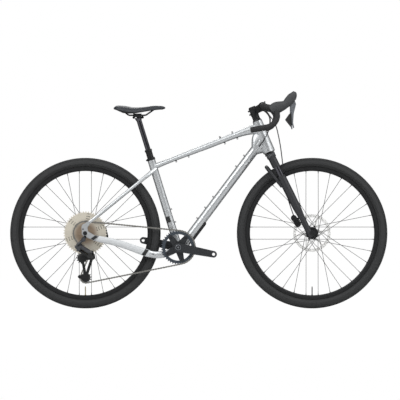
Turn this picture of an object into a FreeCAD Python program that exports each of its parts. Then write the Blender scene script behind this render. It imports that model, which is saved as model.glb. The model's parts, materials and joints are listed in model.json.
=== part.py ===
import FreeCAD, Part
import math
import os
import Sketcher
from FreeCAD import Placement, Rotation, Vector

# A gravel bicycle with a short-travel fork and a dropper seatpost.
# X points forward, Y to the rider's left and Z up, in millimetres.
# The origin is on the ground, midway between the axles.

SIZES = [
    # Stance
    ("wheelbase", 1088, "rear axle to front axle"),
    ("tyre_radius", 361, "axle to ground"),
    ("chainstay_length", 451, "rear axle to crank axis"),
    ("bb_drop", 68, "crank axis below the axles"),
    ("seat_tilt", 17.2, "seat tube from vertical, degrees"),
    ("head_tilt", 21, "steering axis from vertical, degrees"),
    ("leg_tilt", 26.5, "fork legs from vertical, degrees"),
    # Frame
    ("seat_tube_length", 437, "crank axis to the top of the seat tube"),
    ("head_tube_length", 159, "length of the head tube"),
    ("fork_length", 438, "axle to head tube, along the steering axis"),
    ("fork_offset", 53, "axle ahead of the steering axis"),
    ("head_radius_top", 23, "head tube, upper end"),
    ("head_radius_low", 29.5, "head tube, lower end"),
    ("head_bore", 19, "radius inside the head tube"),
    ("top_tube_rear", 11.5, "half height of the top tube at the seat"),
    ("top_tube_front", 16.5, "half height of the top tube at the head"),
    ("top_tube_side", 17, "half width of the top tube"),
    ("down_tube_height", 21.8, "half height of the down tube"),
    ("down_tube_side", 24, "half width of the down tube"),
    ("seat_tube_radius", 18.6, "seat tube"),
    ("seat_bore", 15.8, "radius of the seatpost bore"),
    ("bb_shell_radius", 27, "bottom bracket shell"),
    ("bb_shell_half", 34, "half width of the shell"),
    ("bb_bore", 18, "radius inside the shell"),
    ("chainstay_height", 16.5, "half height of a chainstay"),
    ("stay_side", 8, "half thickness of the stays"),
    ("seatstay_height", 8.5, "half height of a seatstay"),
    ("rear_hub_half", 74, "centre plane to a rear dropout"),
    ("dropout_thickness", 8, "thickness of a rear dropout"),
    ("rear_axle_radius", 6, "rear through-axle"),
    ("insert_radius", 4.2, "flange of a threaded cage insert"),
    ("insert_bore", 2.1, "bore of a threaded cage insert"),
    ("insert_pitch", 64, "between the inserts of one pair"),
    # Fork
    ("steerer_radius", 14.3, "steerer tube"),
    ("stanchion_radius", 14, "fork stanchion"),
    ("leg_radius", 19.5, "upper part of a lower leg"),
    ("leg_foot_radius", 13, "lower part of a lower leg"),
    ("leg_spread", 68, "centre plane to a fork leg"),
    ("leg_top", 306, "top of the lower leg above the axle"),
    ("sleeve_low", 362, "bottom of the crown sleeve above the axle"),
    ("sleeve_radius", 18, "crown sleeve"),
    ("crown_low", 409, "underside of the crown above the axle"),
    ("crown_top", 433, "top of the crown above the axle"),
    ("crown_depth", 42, "crown, front to back"),
    ("dropout_lead", 11, "axle ahead of the leg"),
    ("front_hub_half", 55, "centre plane to a fork dropout"),
    ("front_axle_radius", 7.5, "front through-axle"),
    ("fork_travel", 40, "stroke of the fork"),
    # Cockpit
    ("spacer_stack", 20, "spacers under the stem"),
    ("stem_height", 40, "clamped height of the stem"),
    ("stem_radius", 19, "outside of the steerer clamp"),
    ("stem_length", 49, "steerer axis to bar axis"),
    ("stem_rise", 8, "stem above square, degrees"),
    ("bar_radius", 15.9, "bar at the clamp"),
    ("grip_radius", 11.9, "bar at the hoods and drops"),
    ("tape_thickness", 2.2, "wound bar tape"),
    ("bar_bend", 178, "centre plane to the forward bend"),
    ("hood_spread", 215, "centre plane to a lever body"),
    ("bar_reach", 67, "bar axis to the front of the drop"),
    ("bar_drop", 115, "bar axis to the end of the drop"),
    ("bar_flare", 17, "lean of the drops, degrees"),
    ("lever_width", 11, "brake lever blade"),
    # Wheels
    ("tyre_half_width", 24, "half width of the tyre"),
    ("bead_radius", 311, "bead seat of the rim"),
    ("rim_edge_radius", 317, "outer edge of the rim"),
    ("rim_inner_radius", 298, "inside of the rim"),
    ("rim_half_width", 14.5, "half width of the rim"),
    ("rim_wall", 3, "thickness of the rim's side walls"),
    ("casing", 3.5, "thickness of the tyre"),
    ("tread_crown", 27, "radius across the tread"),
    ("spoke_width", 2.2, "bladed spoke, along the wheel"),
    ("spoke_thickness", 0.9, "bladed spoke, across the wheel"),
    ("flange_radius", 29.5, "hub flange"),
    ("flange_thickness", 3.4, "hub flange"),
    ("hub_waist", 17, "hub shell between the flanges"),
    ("front_flange_out", 30, "centre plane to a front flange"),
    ("rear_flange_left", 34, "centre plane to the left rear flange"),
    ("rear_flange_right", 20, "centre plane to the right rear flange"),
    ("front_rotor_radius", 90, "front disc"),
    ("rear_rotor_radius", 80, "rear disc"),
    ("rotor_thickness", 1.8, "brake discs"),
    ("rotor_band", 14, "width of the braking band"),
    ("front_rotor_plane", 44, "centre plane to the front disc"),
    ("rear_rotor_plane", 58, "centre plane to the rear disc"),
    ("running_gap", 0.1, "between a shaft and its bearing"),
    ("side_gap", 0.5, "between faces that turn past each other"),
    # Drive
    ("chain_pitch", 12.7, "roller to roller"),
    ("roller_radius", 3.85, "chain roller"),
    ("chain_line", 46, "centre plane to the chain"),
    ("ring_teeth", 40, "chainring"),
    ("pulley_teeth", 13, "derailleur pulleys"),
    ("cog_pitch", 3.55, "sprocket to sprocket"),
    ("cog_thickness", 1.6, "sprocket plates and chainring"),
    ("freehub_radius", 16.5, "freehub body"),
    ("crank_length", 172.5, "crank axis to pedal axis"),
    ("crank_eye", 16, "crank around the pedal thread"),
    ("crank_hub", 22, "crank around the spindle"),
    ("crank_thickness", 13, "crank arm"),
    ("crank_out", 76, "centre plane to the outer face of an arm"),
    ("crank_angle", 11, "right arm below level, degrees"),
    ("pedal_bore", 7.15, "pedal thread"),
    ("spindle_radius", 12, "crank spindle"),
    # Seat
    ("post_radius", 15.75, "dropper outer tube"),
    ("post_stanchion", 12.5, "dropper inner post"),
    ("post_exposed", 53, "outer tube above the seat tube"),
    ("saddle_height", 221, "saddle rails above the seat tube, along it"),
    ("dropper_travel", 120, "stroke of the seatpost"),
    ("saddle_length", 248, "nose to tail"),
    ("saddle_half_width", 70, "half width at the tail"),
    ("rail_radius", 3.5, "saddle rails"),
    ("rail_spread", 22, "centre plane to a rail"),
]

doc = FreeCAD.newDocument("gravel_bike")
sheet = doc.addObject("Spreadsheet::Sheet", "dims")
for row, (alias, number, meaning) in enumerate(SIZES, start=1):
    sheet.set(f"A{row}", alias)
    sheet.set(f"B{row}", str(number))
    sheet.set(f"C{row}", meaning)
    sheet.setAlias(f"B{row}", alias)
doc.recompute()

ALONG_Y = Rotation(Vector(1, 0, 0), -90)
NODES = []
NODES_BY_LABEL = {}


def size(alias):
    """The number that the sheet holds under an alias."""
    return float(sheet.get(alias))


def amount(text):
    """The number that an expression on the sheet comes to."""
    return float(sheet.evalExpression(text))


def keep(thing, label, place=None):
    """Name an object as a sub-part that gets a file of its own."""
    thing.Label = label
    if place is not None:
        thing.Placement = place
    NODES.append(thing)
    NODES_BY_LABEL[label] = thing
    return thing


def tilted(point, degrees):
    """A place whose Z axis leans back from vertical."""
    return Placement(point, Rotation(Vector(0, 1, 0), -degrees))


def feature(label, shape):
    """A sub-part whose solid is worked out from the sheet's sizes."""
    thing = doc.addObject("Part::Feature", label)
    thing.Shape = shape
    return keep(thing, label)


def new_body(label):
    """An empty body with its own origin."""
    return doc.addObject("PartDesign::Body", label)


def draw(body, plane, corners, holes=()):
    """A closed sketch: corners (x, y) or (x, y, radius of the arc that starts there), all expressions.

    Corners run anticlockwise, and an arc bulges outward.  Holes are (x, y, radius).
    """
    sketch = body.newObject("Sketcher::SketchObject", f"{body.Name}_outline")
    sketch.AttachmentSupport = ([f for f in body.Origin.OriginFeatures if f.Role == plane][0], [""])
    sketch.MapMode = "FlatFace"
    points = [Vector(amount(corner[0]), amount(corner[1]), 0) for corner in corners]
    for index, corner in enumerate(corners):
        start = points[index]
        end = points[(index + 1) % len(points)]
        if len(corner) == 2:
            sketch.addGeometry(Part.LineSegment(start, end))
            continue
        radius = amount(corner[2])
        chord = end - start
        inward = Vector(-chord.y, chord.x, 0).normalize()
        centre = (start + end) * 0.5 + inward * math.sqrt(radius ** 2 - chord.Length ** 2 / 4)
        first = math.atan2(start.y - centre.y, start.x - centre.x)
        last = math.atan2(end.y - centre.y, end.x - centre.x)
        sketch.addGeometry(Part.ArcOfCircle(Part.Circle(centre, Vector(0, 0, 1), radius), first, last))
    for index, corner in enumerate(corners):
        following = (index + 1) % len(corners)
        sketch.addConstraint(Sketcher.Constraint("Coincident", index, 2, following, 1))
        if len(corner) == 3:
            fixed(sketch, Sketcher.Constraint("Radius", index, amount(corner[2])), corner[2])
        locate(sketch, index, 1, corner[0], corner[1])
    for x, y, radius in holes:
        circle = Part.Circle(Vector(amount(x), amount(y), 0), Vector(0, 0, 1), amount(radius))
        index = sketch.addGeometry(circle)
        fixed(sketch, Sketcher.Constraint("Radius", index, amount(radius)), radius)
        locate(sketch, index, 3, x, y)
    return sketch


def fixed(sketch, constraint, text):
    """Add a constraint whose value follows an expression."""
    index = sketch.addConstraint(constraint)
    sketch.setExpression(f"Constraints[{index}]", text)


def locate(sketch, index, vertex, x, y):
    """Hold a sketch point at two expressions from the origin."""
    for kind, text, axis in (("DistanceX", x, -2), ("DistanceY", y, -1)):
        if text == "0":
            sketch.addConstraint(Sketcher.Constraint("PointOnObject", index, vertex, axis))
        else:
            fixed(sketch, Sketcher.Constraint(kind, -1, 1, index, vertex, amount(text)), text)


def revolve(body, plane, corners):
    """Turn a sketched section about the sketch's upright axis."""
    sketch = draw(body, plane, corners)
    turn = body.newObject("PartDesign::Revolution", f"{body.Name}_turn")
    turn.Profile = sketch
    turn.ReferenceAxis = (sketch, ["V_Axis"])
    turn.Angle = 360
    return turn


def pad(body, corners, thickness, holes=(), plane="XZ_Plane"):
    """Thicken a sketched outline equally to both sides of its plane."""
    solid = body.newObject("PartDesign::Pad", f"{body.Name}_pad")
    solid.Profile = draw(body, plane, corners, holes)
    solid.Midplane = True
    solid.setExpression("Length", thickness)
    return solid


def ring(body, outer, inner, thickness):
    """A flat ring about Y."""
    solid = body.newObject("PartDesign::Pad", f"{body.Name}_ring")
    sketch = body.newObject("Sketcher::SketchObject", f"{body.Name}_circles")
    sketch.AttachmentSupport = ([f for f in body.Origin.OriginFeatures if f.Role == "XZ_Plane"][0], [""])
    sketch.MapMode = "FlatFace"
    for text in (outer, inner):
        index = sketch.addGeometry(Part.Circle(Vector(0, 0, 0), Vector(0, 0, 1), amount(text)))
        sketch.addConstraint(Sketcher.Constraint("Coincident", index, 3, -1, 1))
        fixed(sketch, Sketcher.Constraint("Radius", index, amount(text)), text)
    solid.Profile = sketch
    solid.Midplane = True
    solid.setExpression("Length", thickness)
    return solid


def lathe(label, plane, corners, place):
    """A sub-part turned in one piece."""
    body = new_body(label)
    revolve(body, plane, corners)
    return keep(body, label, place)


def cylinder(radius, height, place):
    """A round primitive with bound sizes, used as a piece of a larger sub-part."""
    thing = doc.addObject("Part::Cylinder", "rod")
    thing.setExpression("Radius", radius)
    thing.setExpression("Height", height)
    thing.Placement = place
    return thing


def group(label, pieces):
    """A sub-part that is a set of separate like pieces."""
    thing = doc.addObject("Part::Compound", label)
    thing.Links = pieces
    return keep(thing, label)


def rounded(points, radii, most=0.45):
    """A wire of straight runs with an arc at each inner corner, which takes at most a share of each run."""
    edges = []
    start = points[0]
    for before, corner, after, radius in zip(points, points[1:], points[2:], radii):
        to_start = (before - corner).normalize()
        to_end = (after - corner).normalize()
        half = to_start.getAngle(to_end) / 2
        reach = radius / math.tan(half)
        reach = min(reach, most * (before - corner).Length, most * (after - corner).Length)
        first = corner + to_start * reach
        last = corner + to_end * reach
        bisector = (to_start + to_end).normalize()
        bulge = reach / math.cos(half) - reach * math.tan(half)
        edges.append(Part.makeLine(start, first))
        edges.append(Part.Arc(first, corner + bisector * bulge, last).toShape())
        start = last
    edges.append(Part.makeLine(start, points[-1]))
    return Part.Wire(edges)


def tube(path, radius):
    """A round solid swept along a wire."""
    start = path.Edges[0]
    circle = Part.Circle(start.valueAt(start.FirstParameter), start.tangentAt(start.FirstParameter), radius)
    return path.makePipeShell([Part.Wire(circle.toShape())], True, False)


def oval(centre, normal, half_height, half_width):
    """An elliptical section, upright in the side view and square to a direction."""
    normal = Vector(normal).normalize()
    side = Vector(0, 1, 0)
    up = normal.cross(side).normalize()
    side = up.cross(normal).normalize()
    long_way = up * half_height
    short_way = side * half_width
    stretch = FreeCAD.Matrix(
        long_way.x, short_way.x, normal.x, centre.x,
        long_way.y, short_way.y, normal.y, centre.y,
        long_way.z, short_way.z, normal.z, centre.z,
        0, 0, 0, 1,
    )
    return Part.Wire(Part.makeCircle(1).transformGeometry(stretch).Edges)


def blend(stations):
    """A smooth solid through sections: centre, half height, half width and, if given, the normal."""
    wires = []
    for index, (centre, half_height, half_width, *normal) in enumerate(stations):
        before = stations[max(index - 1, 0)][0]
        after = stations[min(index + 1, len(stations) - 1)][0]
        wires.append(oval(centre, normal[0] if normal else after - before, half_height, half_width))
    return Part.makeLoft(wires, True, False)


def mirrored(shape):
    """The same shape on the other side of the centre plane."""
    return shape.mirror(Vector(0, 0, 0), Vector(0, 1, 0))


# Datum points that every group is placed from

rear_axle = Vector(-size("wheelbase") / 2, 0, size("tyre_radius"))
front_axle = Vector(size("wheelbase") / 2, 0, size("tyre_radius"))
bb = rear_axle + Vector(math.sqrt(size("chainstay_length") ** 2 - size("bb_drop") ** 2), 0, -size("bb_drop"))

seat_lean = math.radians(size("seat_tilt"))
seat_up = Vector(-math.sin(seat_lean), 0, math.cos(seat_lean))
seat_top = bb + seat_up * size("seat_tube_length")

head_lean = math.radians(size("head_tilt"))
steer_up = Vector(-math.sin(head_lean), 0, math.cos(head_lean))
steer_fore = Vector(math.cos(head_lean), 0, math.sin(head_lean))
head_low = front_axle + steer_up * size("fork_length") - steer_fore * size("fork_offset")
head_top = head_low + steer_up * size("head_tube_length")

leg_lean = math.radians(size("leg_tilt"))
leg_up = Vector(-math.sin(leg_lean), 0, math.cos(leg_lean))
leg_fore = Vector(math.cos(leg_lean), 0, math.sin(leg_lean))
leg_foot = front_axle - leg_fore * size("dropout_lead")


# Wheels

def tyre(label, axle):
    """A hollow casing, open towards the rim, whose beads sit on the rim's seats."""
    bead = "dims.rim_half_width - dims.rim_wall"
    inner = f"{bead} - dims.casing"
    widest = "dims.bead_radius + 22"
    edge = "dims.tyre_half_width - 5"
    shoulder = f"dims.tyre_radius - dims.tread_crown + sqrt(dims.tread_crown ^ 2 - ({edge}) ^ 2)"
    corners = [
        ("dims.bead_radius", f"-({bead})"),
        ("dims.rim_edge_radius + 1", f"-({bead})"),
        (widest, "-dims.tyre_half_width", "34"),
        (shoulder, f"-({edge})", "dims.tread_crown"),
        (shoulder, edge, "34"),
        (widest, "dims.tyre_half_width"),
        ("dims.rim_edge_radius + 1", bead),
        ("dims.bead_radius", bead),
        ("dims.bead_radius", inner),
        ("dims.rim_edge_radius + 2", inner),
        (widest, "dims.tyre_half_width - dims.casing"),
        (f"{shoulder} - dims.casing", f"{edge} - dims.casing"),
        (f"{shoulder} - dims.casing", f"-({edge}) + dims.casing"),
        (widest, "-dims.tyre_half_width + dims.casing"),
        ("dims.rim_edge_radius + 2", f"-({inner})"),
        ("dims.bead_radius", f"-({inner})"),
    ]
    return lathe(label, "XY_Plane", corners, Placement(axle, Rotation()))


def rim(label, axle):
    """A rim with two side walls, a bead seat and a sloped spoke bed."""
    wall = "dims.rim_half_width - dims.rim_wall"
    corners = [
        ("dims.rim_inner_radius", "-dims.rim_half_width + 6"),
        ("dims.rim_inner_radius + 7", "-dims.rim_half_width"),
        ("dims.rim_edge_radius", "-dims.rim_half_width"),
        ("dims.rim_edge_radius", f"-({wall})"),
        ("dims.bead_radius", f"-({wall})"),
        ("dims.bead_radius", wall),
        ("dims.rim_edge_radius", wall),
        ("dims.rim_edge_radius", "dims.rim_half_width"),
        ("dims.rim_inner_radius + 7", "dims.rim_half_width"),
        ("dims.rim_inner_radius", "dims.rim_half_width - 6"),
    ]
    return lathe(label, "XY_Plane", corners, Placement(axle, Rotation()))


def spokes(label, axle, left_flange, right_flange):
    """Thirty-two bladed spokes, laced over three others on each side."""
    count = 32
    cross = 67.5
    hub = size("flange_radius") + size("spoke_width") / 2
    bed = size("rim_inner_radius")
    width = size("spoke_width")
    thickness = size("spoke_thickness")
    blades = []
    for index in range(count):
        left = index % 2 == 0
        trailing = (index // 2) % 2 == 0
        rim_angle = math.radians(index * 360 / count + 360 / count / 2 + 90)
        hub_angle = rim_angle + math.radians(cross if trailing else -cross)
        plane = left_flange if left else -right_flange
        layer = thickness * (1 if trailing else -1)
        start = Vector(hub * math.cos(hub_angle), plane + layer, hub * math.sin(hub_angle))
        bed_plane = (2.5 if left else -2.5) + layer * 0.7
        end = Vector(bed * math.cos(rim_angle), bed_plane, bed * math.sin(rim_angle))
        run = end - start
        blade = Part.makeBox(width, thickness, run.Length, Vector(-width / 2, -thickness / 2, 0))
        across = run.cross(Vector(0, 1, 0)).normalize()
        blade.Placement = Placement(axle + start, Rotation(across, Vector(0, 1, 0), run, "ZXY"))
        blades.append(blade)
    return feature(label, Part.makeCompound(blades))


def rotor(label, axle, radius, plane):
    """A brake disc: a slotted band, six swept arms and a carrier ring on the hub."""
    body = new_body(label)
    ring(body, radius, f"{radius} - dims.rotor_band", "dims.rotor_thickness")
    carrier = "dims.hub_waist + 9"
    ring(body, carrier, "dims.hub_waist - 2", "dims.rotor_thickness")
    arm = pad(body, [
        ("dims.hub_waist + 2", "-5"),
        (f"{radius} - dims.rotor_band + 2", "12"),
        (f"{radius} - dims.rotor_band + 2", "18"),
        ("dims.hub_waist + 2", "4"),
    ], "dims.rotor_thickness")
    repeat(body, arm, 6)
    slot = body.newObject("PartDesign::Pocket", f"{label}_slot")
    slot.Profile = draw(body, "XZ_Plane", [
        (f"{radius} - dims.rotor_band + 4", "-4"),
        (f"{radius} - 4", "-1"),
        (f"{radius} - 4", "2"),
        (f"{radius} - dims.rotor_band + 4", "-1"),
    ])
    slot.Midplane = True
    slot.Type = 1
    repeat(body, slot, 24)
    return keep(body, label, Placement(axle + Vector(0, plane, 0), Rotation()))


def repeat(body, item, times):
    """Copy a feature evenly about the body's Y axis."""
    pattern = body.newObject("PartDesign::PolarPattern", f"{item.Name}_pattern")
    pattern.Originals = [item]
    pattern.Axis = ([f for f in body.Origin.OriginFeatures if f.Role == "Y_Axis"][0], [""])
    pattern.Angle = 360
    pattern.Occurrences = times
    body.Tip = pattern
    return pattern


def hub(label, axle, left_flange, right_flange, left_end, right_end, bore):
    """A hub shell with two spoke flanges, bored for its bearings."""
    flange = "dims.flange_thickness"
    waist = "dims.hub_waist - 3"
    corners = [
        (f"{bore} + dims.running_gap", f"-({right_end})"),
        ("dims.hub_waist - 2", f"-({right_end})"),
        ("dims.hub_waist - 2", f"-({right_flange}) - {flange} / 2"),
        ("dims.flange_radius", f"-({right_flange}) - {flange} / 2"),
        ("dims.flange_radius", f"-({right_flange}) + {flange} / 2"),
        (waist, f"-({right_flange}) + {flange}"),
        (waist, f"{left_flange} - {flange}"),
        ("dims.flange_radius", f"{left_flange} - {flange} / 2"),
        ("dims.flange_radius", f"{left_flange} + {flange} / 2"),
        ("dims.hub_waist - 2", f"{left_flange} + {flange} / 2"),
        ("dims.hub_waist - 2", left_end),
        (f"{bore} + dims.running_gap", left_end),
    ]
    return lathe(label, "XY_Plane", corners, Placement(axle, Rotation()))


def valve(label, axle):
    """A tubeless valve that stands up from the rim between two spokes."""
    return lathe(label, "XZ_Plane", [
        ("0", "-dims.rim_inner_radius"),
        ("4", "-dims.rim_inner_radius"),
        ("4", "-dims.rim_inner_radius + 3"),
        ("2.6", "-dims.rim_inner_radius + 3"),
        ("2.6", "-dims.rim_inner_radius + 34"),
        ("1.8", "-dims.rim_inner_radius + 42"),
        ("0", "-dims.rim_inner_radius + 42"),
    ], Placement(axle, Rotation()))


for end, axle in (("front", front_axle), ("rear", rear_axle)):
    tyre(f"{end}_tyre", axle)
    rim(f"{end}_rim", axle)
    valve(f"{end}_valve", axle)
spokes("front_spokes", front_axle, size("front_flange_out"), size("front_flange_out"))
spokes("rear_spokes", rear_axle, size("rear_flange_left"), size("rear_flange_right"))
rotor("front_rotor", front_axle, "dims.front_rotor_radius", size("front_rotor_plane"))
rotor("rear_rotor", rear_axle, "dims.rear_rotor_radius", size("rear_rotor_plane"))
hub("front_hub", front_axle, "dims.front_flange_out", "dims.front_flange_out",
    "dims.front_rotor_plane + 3", "dims.front_flange_out + 12", "dims.front_axle_radius")
hub("rear_hub", rear_axle, "dims.rear_flange_left", "dims.rear_flange_right",
    "dims.rear_rotor_plane + 3", "dims.rear_flange_right + 4", "dims.rear_axle_radius")


def axle_rod(label, axle, half, radius, inner_left, inner_right, head):
    """A through-axle with the hub's two fixed end caps on it."""
    corners = [
        ("0", f"-({half} + {head})"),
        (f"{radius} + 4", f"-({half} + {head})"),
        (f"{radius} + 4", f"-({half} + {head}) + 3"),
        (radius, f"-({half} + {head}) + 3"),
        (radius, f"-({half})"),
        (f"{radius} + 5", f"-({half})"),
        (f"{radius} + 5", f"-({inner_right})"),
        (radius, f"-({inner_right})"),
        (radius, inner_left),
        (f"{radius} + 5", inner_left),
        (f"{radius} + 5", half),
        (radius, half),
        (radius, f"{half} + {head} - 1"),
        ("0", f"{half} + {head} - 1"),
    ]
    return lathe(label, "XY_Plane", corners, Placement(axle, Rotation()))


axle_rod("front_axle", front_axle, "dims.front_hub_half", "dims.front_axle_radius",
         "dims.front_rotor_plane + 3 + dims.side_gap", "dims.front_flange_out + 12 + dims.side_gap", "29")
axle_rod("rear_axle", rear_axle, "dims.rear_hub_half", "dims.rear_axle_radius",
         "dims.rear_rotor_plane + 3 + dims.side_gap", "dims.rear_hub_half - 1", "dims.dropout_thickness + 3")


# Frame

def between(start, end, share):
    """A point part of the way along a straight line."""
    return start + (end - start) * share


def web(points, radii, axis, low, high):
    """A flat piece whose outline wraps round two circles, square to an axis and between two heights on it."""
    first, second = points
    run = (second - first).normalize()
    across = axis.cross(run).normalize()
    turn = math.acos((radii[0] - radii[1]) / (second - first).Length)
    corners = []
    for centre, radius in zip(points, radii):
        ahead = run * (radius * math.cos(turn))
        aside = across * (radius * math.sin(turn))
        corners.append((centre + ahead + aside, centre + ahead - aside))
    (a, b), (c, d) = corners
    wire = Part.Wire([
        Part.makeLine(a, c),
        Part.Arc(c, second + run * radii[1], d).toShape(),
        Part.makeLine(d, b),
        Part.Arc(b, first - run * radii[0], a).toShape(),
    ])
    shape = Part.Face(wire).extrude(axis * (high - low))
    shape.translate(axis * low)
    return shape


def rod(start, end, radius):
    """A plain round bar from one point to another."""
    run = end - start
    return Part.makeCylinder(radius, run.Length, start, run)


top_tube_seat = seat_top - seat_up * 33
top_tube_head = head_top - steer_up * 26
down_tube_head = head_low + steer_up * 72
down_tube_bb = bb + Vector(10, 0, -8)
stay_top = seat_top - seat_up * 48
dropout_seat = rear_axle + Vector(17, 0, 49)
dropout_chain = rear_axle + Vector(44, 0, -23)
port_root = down_tube_head + Vector(-42, -8, -70)
port_mouth = port_root + Vector(20.2, -16, 27.6)
port_radius = 4.5


def main_tubes():
    """The front triangle's tubes with their flared ends, and the shell at the cranks."""
    rear = size("top_tube_rear")
    front = size("top_tube_front")
    side = size("top_tube_side")
    deep = size("down_tube_height")
    wide = size("down_tube_side")
    seat = size("seat_tube_radius")
    throat = Vector(0.869, 0, 0.495)
    top = blend([
        (top_tube_seat, rear + 3, side - 3),
        (between(top_tube_seat, top_tube_head, 0.15), rear, side - 2),
        (between(top_tube_seat, top_tube_head, 0.5), (rear + front) / 2, side),
        (between(top_tube_seat, top_tube_head, 0.82), front, side + 2),
        (between(top_tube_seat, top_tube_head, 0.92) - Vector(0, 0, 4), front + 5, side + 3),
        (top_tube_head - Vector(0, 0, 12), front + 13, side + 4),
    ])
    down = blend([
        (down_tube_bb, deep, wide),
        (between(down_tube_bb, down_tube_head, 0.2), deep, wide + 1),
        (between(down_tube_bb, down_tube_head, 0.55), deep, wide),
        (between(down_tube_bb, down_tube_head, 0.97), deep, wide),
    ])
    flare = blend([
        (between(down_tube_bb, down_tube_head, 0.74), deep - 1, wide - 1),
        (head_low + Vector(-70, 0, 13), deep + 7, wide - 1, throat),
        (head_low + Vector(-54, 0, 37), deep + 27, wide - 2, throat),
        (head_low + steer_up * 54, deep + 31, wide - 3, throat),
    ])
    upright = blend([
        (bb, seat + 1, seat + 3),
        (between(bb, seat_top, 0.3), seat, seat),
        (seat_top, seat, seat),
    ])
    head = Part.makeCone(size("head_radius_low"), size("head_radius_top"), size("head_tube_length"),
                         head_low, steer_up)
    shell = Part.makeCylinder(size("bb_shell_radius"), 2 * size("bb_shell_half"),
                              bb - Vector(0, size("bb_shell_half"), 0), Vector(0, 1, 0))
    return [top, down, flare, upright, head, shell]


def chainstay_line(skin):
    """The sections of the drive side's chainstay, or of a skin of that thickness round it."""
    half = size("stay_side") + skin
    tall = size("chainstay_height") + skin
    outside = -(size("rear_hub_half") + size("dropout_thickness") / 2)
    return [
        (bb + Vector(-6, -20, -8), tall - 2, half + 5),
        (bb + Vector(-52, -29, -28), tall, half),
        (bb + Vector(-104, -38, -36), tall, half - 1),
        (bb + Vector(-150, -47, -27), tall, half),
        (bb + Vector(-240, -58, 5), tall - 1, half),
        (dropout_chain + Vector(50, outside + 8, -10), tall - 2, half),
        (dropout_chain + Vector(0, outside, 0), tall - 3, size("dropout_thickness") / 2 + skin),
    ]


def right_stays():
    """The drive side's chainstay, seatstay and dropout, as loops that clear the tyre and the chainring."""
    half = size("stay_side")
    low = size("seatstay_height")
    outside = -(size("rear_hub_half") + size("dropout_thickness") / 2)
    chain = blend(chainstay_line(0))
    seat = blend([
        (stay_top + Vector(8, -9, 5), low + 3, half - 1),
        (between(stay_top, dropout_seat, 0.16) + Vector(0, -38, 0), low, half - 1),
        (between(stay_top, dropout_seat, 0.5) + Vector(0, -57, 0), low - 1, half - 1),
        (between(stay_top, dropout_seat, 0.85) + Vector(0, outside + 5, 0), low - 1, half - 1),
        (dropout_seat + Vector(0, outside, 0), low - 1, size("dropout_thickness") / 2),
    ])
    inside = -(size("rear_hub_half") + size("dropout_thickness"))
    face = -size("rear_hub_half")
    plate_top = rear_axle + Vector(-3, 0, 31)
    plate = web((rear_axle, plate_top), (15, 13.5), Vector(0, 1, 0), inside, face)
    upper = web((plate_top, dropout_seat), (13, 8), Vector(0, 1, 0), inside, face)
    lower = web((rear_axle, dropout_chain), (15, 12), Vector(0, 1, 0), inside, face)
    return [chain, seat, plate, upper, lower]


def frame():
    """One moulded frame: tubes, stays and dropouts, bored for what fits in it."""
    stays = right_stays()
    nozzle = rod(port_root, port_mouth, port_radius)
    pieces = main_tubes() + stays + [nozzle] + [mirrored(piece) for piece in stays + [nozzle]]
    whole = pieces[0].fuse(pieces[1:])
    half = size("rear_hub_half") + size("dropout_thickness") + 1
    bores = [
        rod(head_low - steer_up * 5, head_top + steer_up * 5, size("head_bore")),
        rod(bb + seat_up * 105, seat_top + seat_up * 5, size("seat_bore")),
        rod(bb - Vector(0, size("bb_shell_half") + 20, 0), bb + Vector(0, size("bb_shell_half") + 20, 0),
            size("bb_bore")),
        rod(rear_axle - Vector(0, half, 0), rear_axle + Vector(0, half, 0), size("rear_axle_radius")),
        insert_bores(),
    ]
    return feature("frame", whole.cut(bores).removeSplitter())


# Threaded inserts for bottle cages and bags: where each row starts, along which tube, on which side

insert_depth = 9


def insert_seats():
    """The mouth of each insert on the frame's skin, and the way it faces."""
    along_down = (down_tube_head - down_tube_bb).normalize()
    above_down = Vector(-along_down.z, 0, along_down.x)
    along_top = (top_tube_head - top_tube_seat).normalize()
    above_top = Vector(-along_top.z, 0, along_top.x)
    seat_fore = Vector(math.cos(seat_lean), 0, math.sin(seat_lean))
    pitch = size("insert_pitch")
    deep = size("down_tube_height")
    rows = [
        (down_tube_bb + along_down * 167, along_down, above_down, deep, 3),
        (down_tube_bb + along_down * 478, along_down, above_down, deep, 2),
        (bb + seat_up * 121, seat_up, seat_fore, size("seat_tube_radius"), 2),
        (top_tube_seat + along_top * 112, along_top, above_top * -1, size("top_tube_rear") + 1, 2),
        (top_tube_seat + along_top * 361, along_top, above_top * -1, size("top_tube_front") - 1, 2),
        (top_tube_seat + along_top * 349, along_top, above_top, size("top_tube_front") - 1, 2),
    ]
    seats = []
    for start, along, facing, height, count in rows:
        for index in range(count):
            seats.append((start + along * (pitch * index) + facing * height, facing))
    return seats


def insert_bores():
    """The holes in the frame that the inserts sit in."""
    shafts = []
    for mouth, facing in insert_seats():
        shafts.append(rod(mouth - facing * insert_depth, mouth + facing * 20, size("insert_radius")))
    return shafts[0].fuse(shafts[1:])


def inserts():
    """Flush threaded sleeves, each a little proud of the frame."""
    sleeves = []
    for mouth, facing in insert_seats():
        sleeve = rod(mouth - facing * insert_depth, mouth + facing * 2, size("insert_radius"))
        sleeves.append(sleeve.cut(rod(mouth - facing * 7, mouth + facing * 3, size("insert_bore"))))
    return feature("cage_inserts", Part.makeCompound(sleeves))


frame()
inserts()


def turned(name, plane, corners, place):
    """A turned piece of a larger sub-part."""
    body = new_body(name)
    revolve(body, plane, corners)
    body.Placement = place
    return body


def less(label, base, tool):
    """A sub-part with another shape taken out of it."""
    thing = doc.addObject("Part::Cut", label)
    thing.Base = base
    thing.Tool = tool
    return keep(thing, label)


def fused(pieces):
    """Primitives joined into one shape inside a larger sub-part."""
    whole = pieces[0]
    for piece in pieces[1:]:
        both = doc.addObject("Part::Fuse", "union")
        both.Base = whole
        both.Tool = piece
        whole = both
    return whole


def solid(name, shape):
    """A worked-out shape used as a piece of a larger sub-part."""
    thing = doc.addObject("Part::Feature", name)
    thing.Shape = shape
    return thing


# Fork, in a frame that leans with its legs

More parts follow.
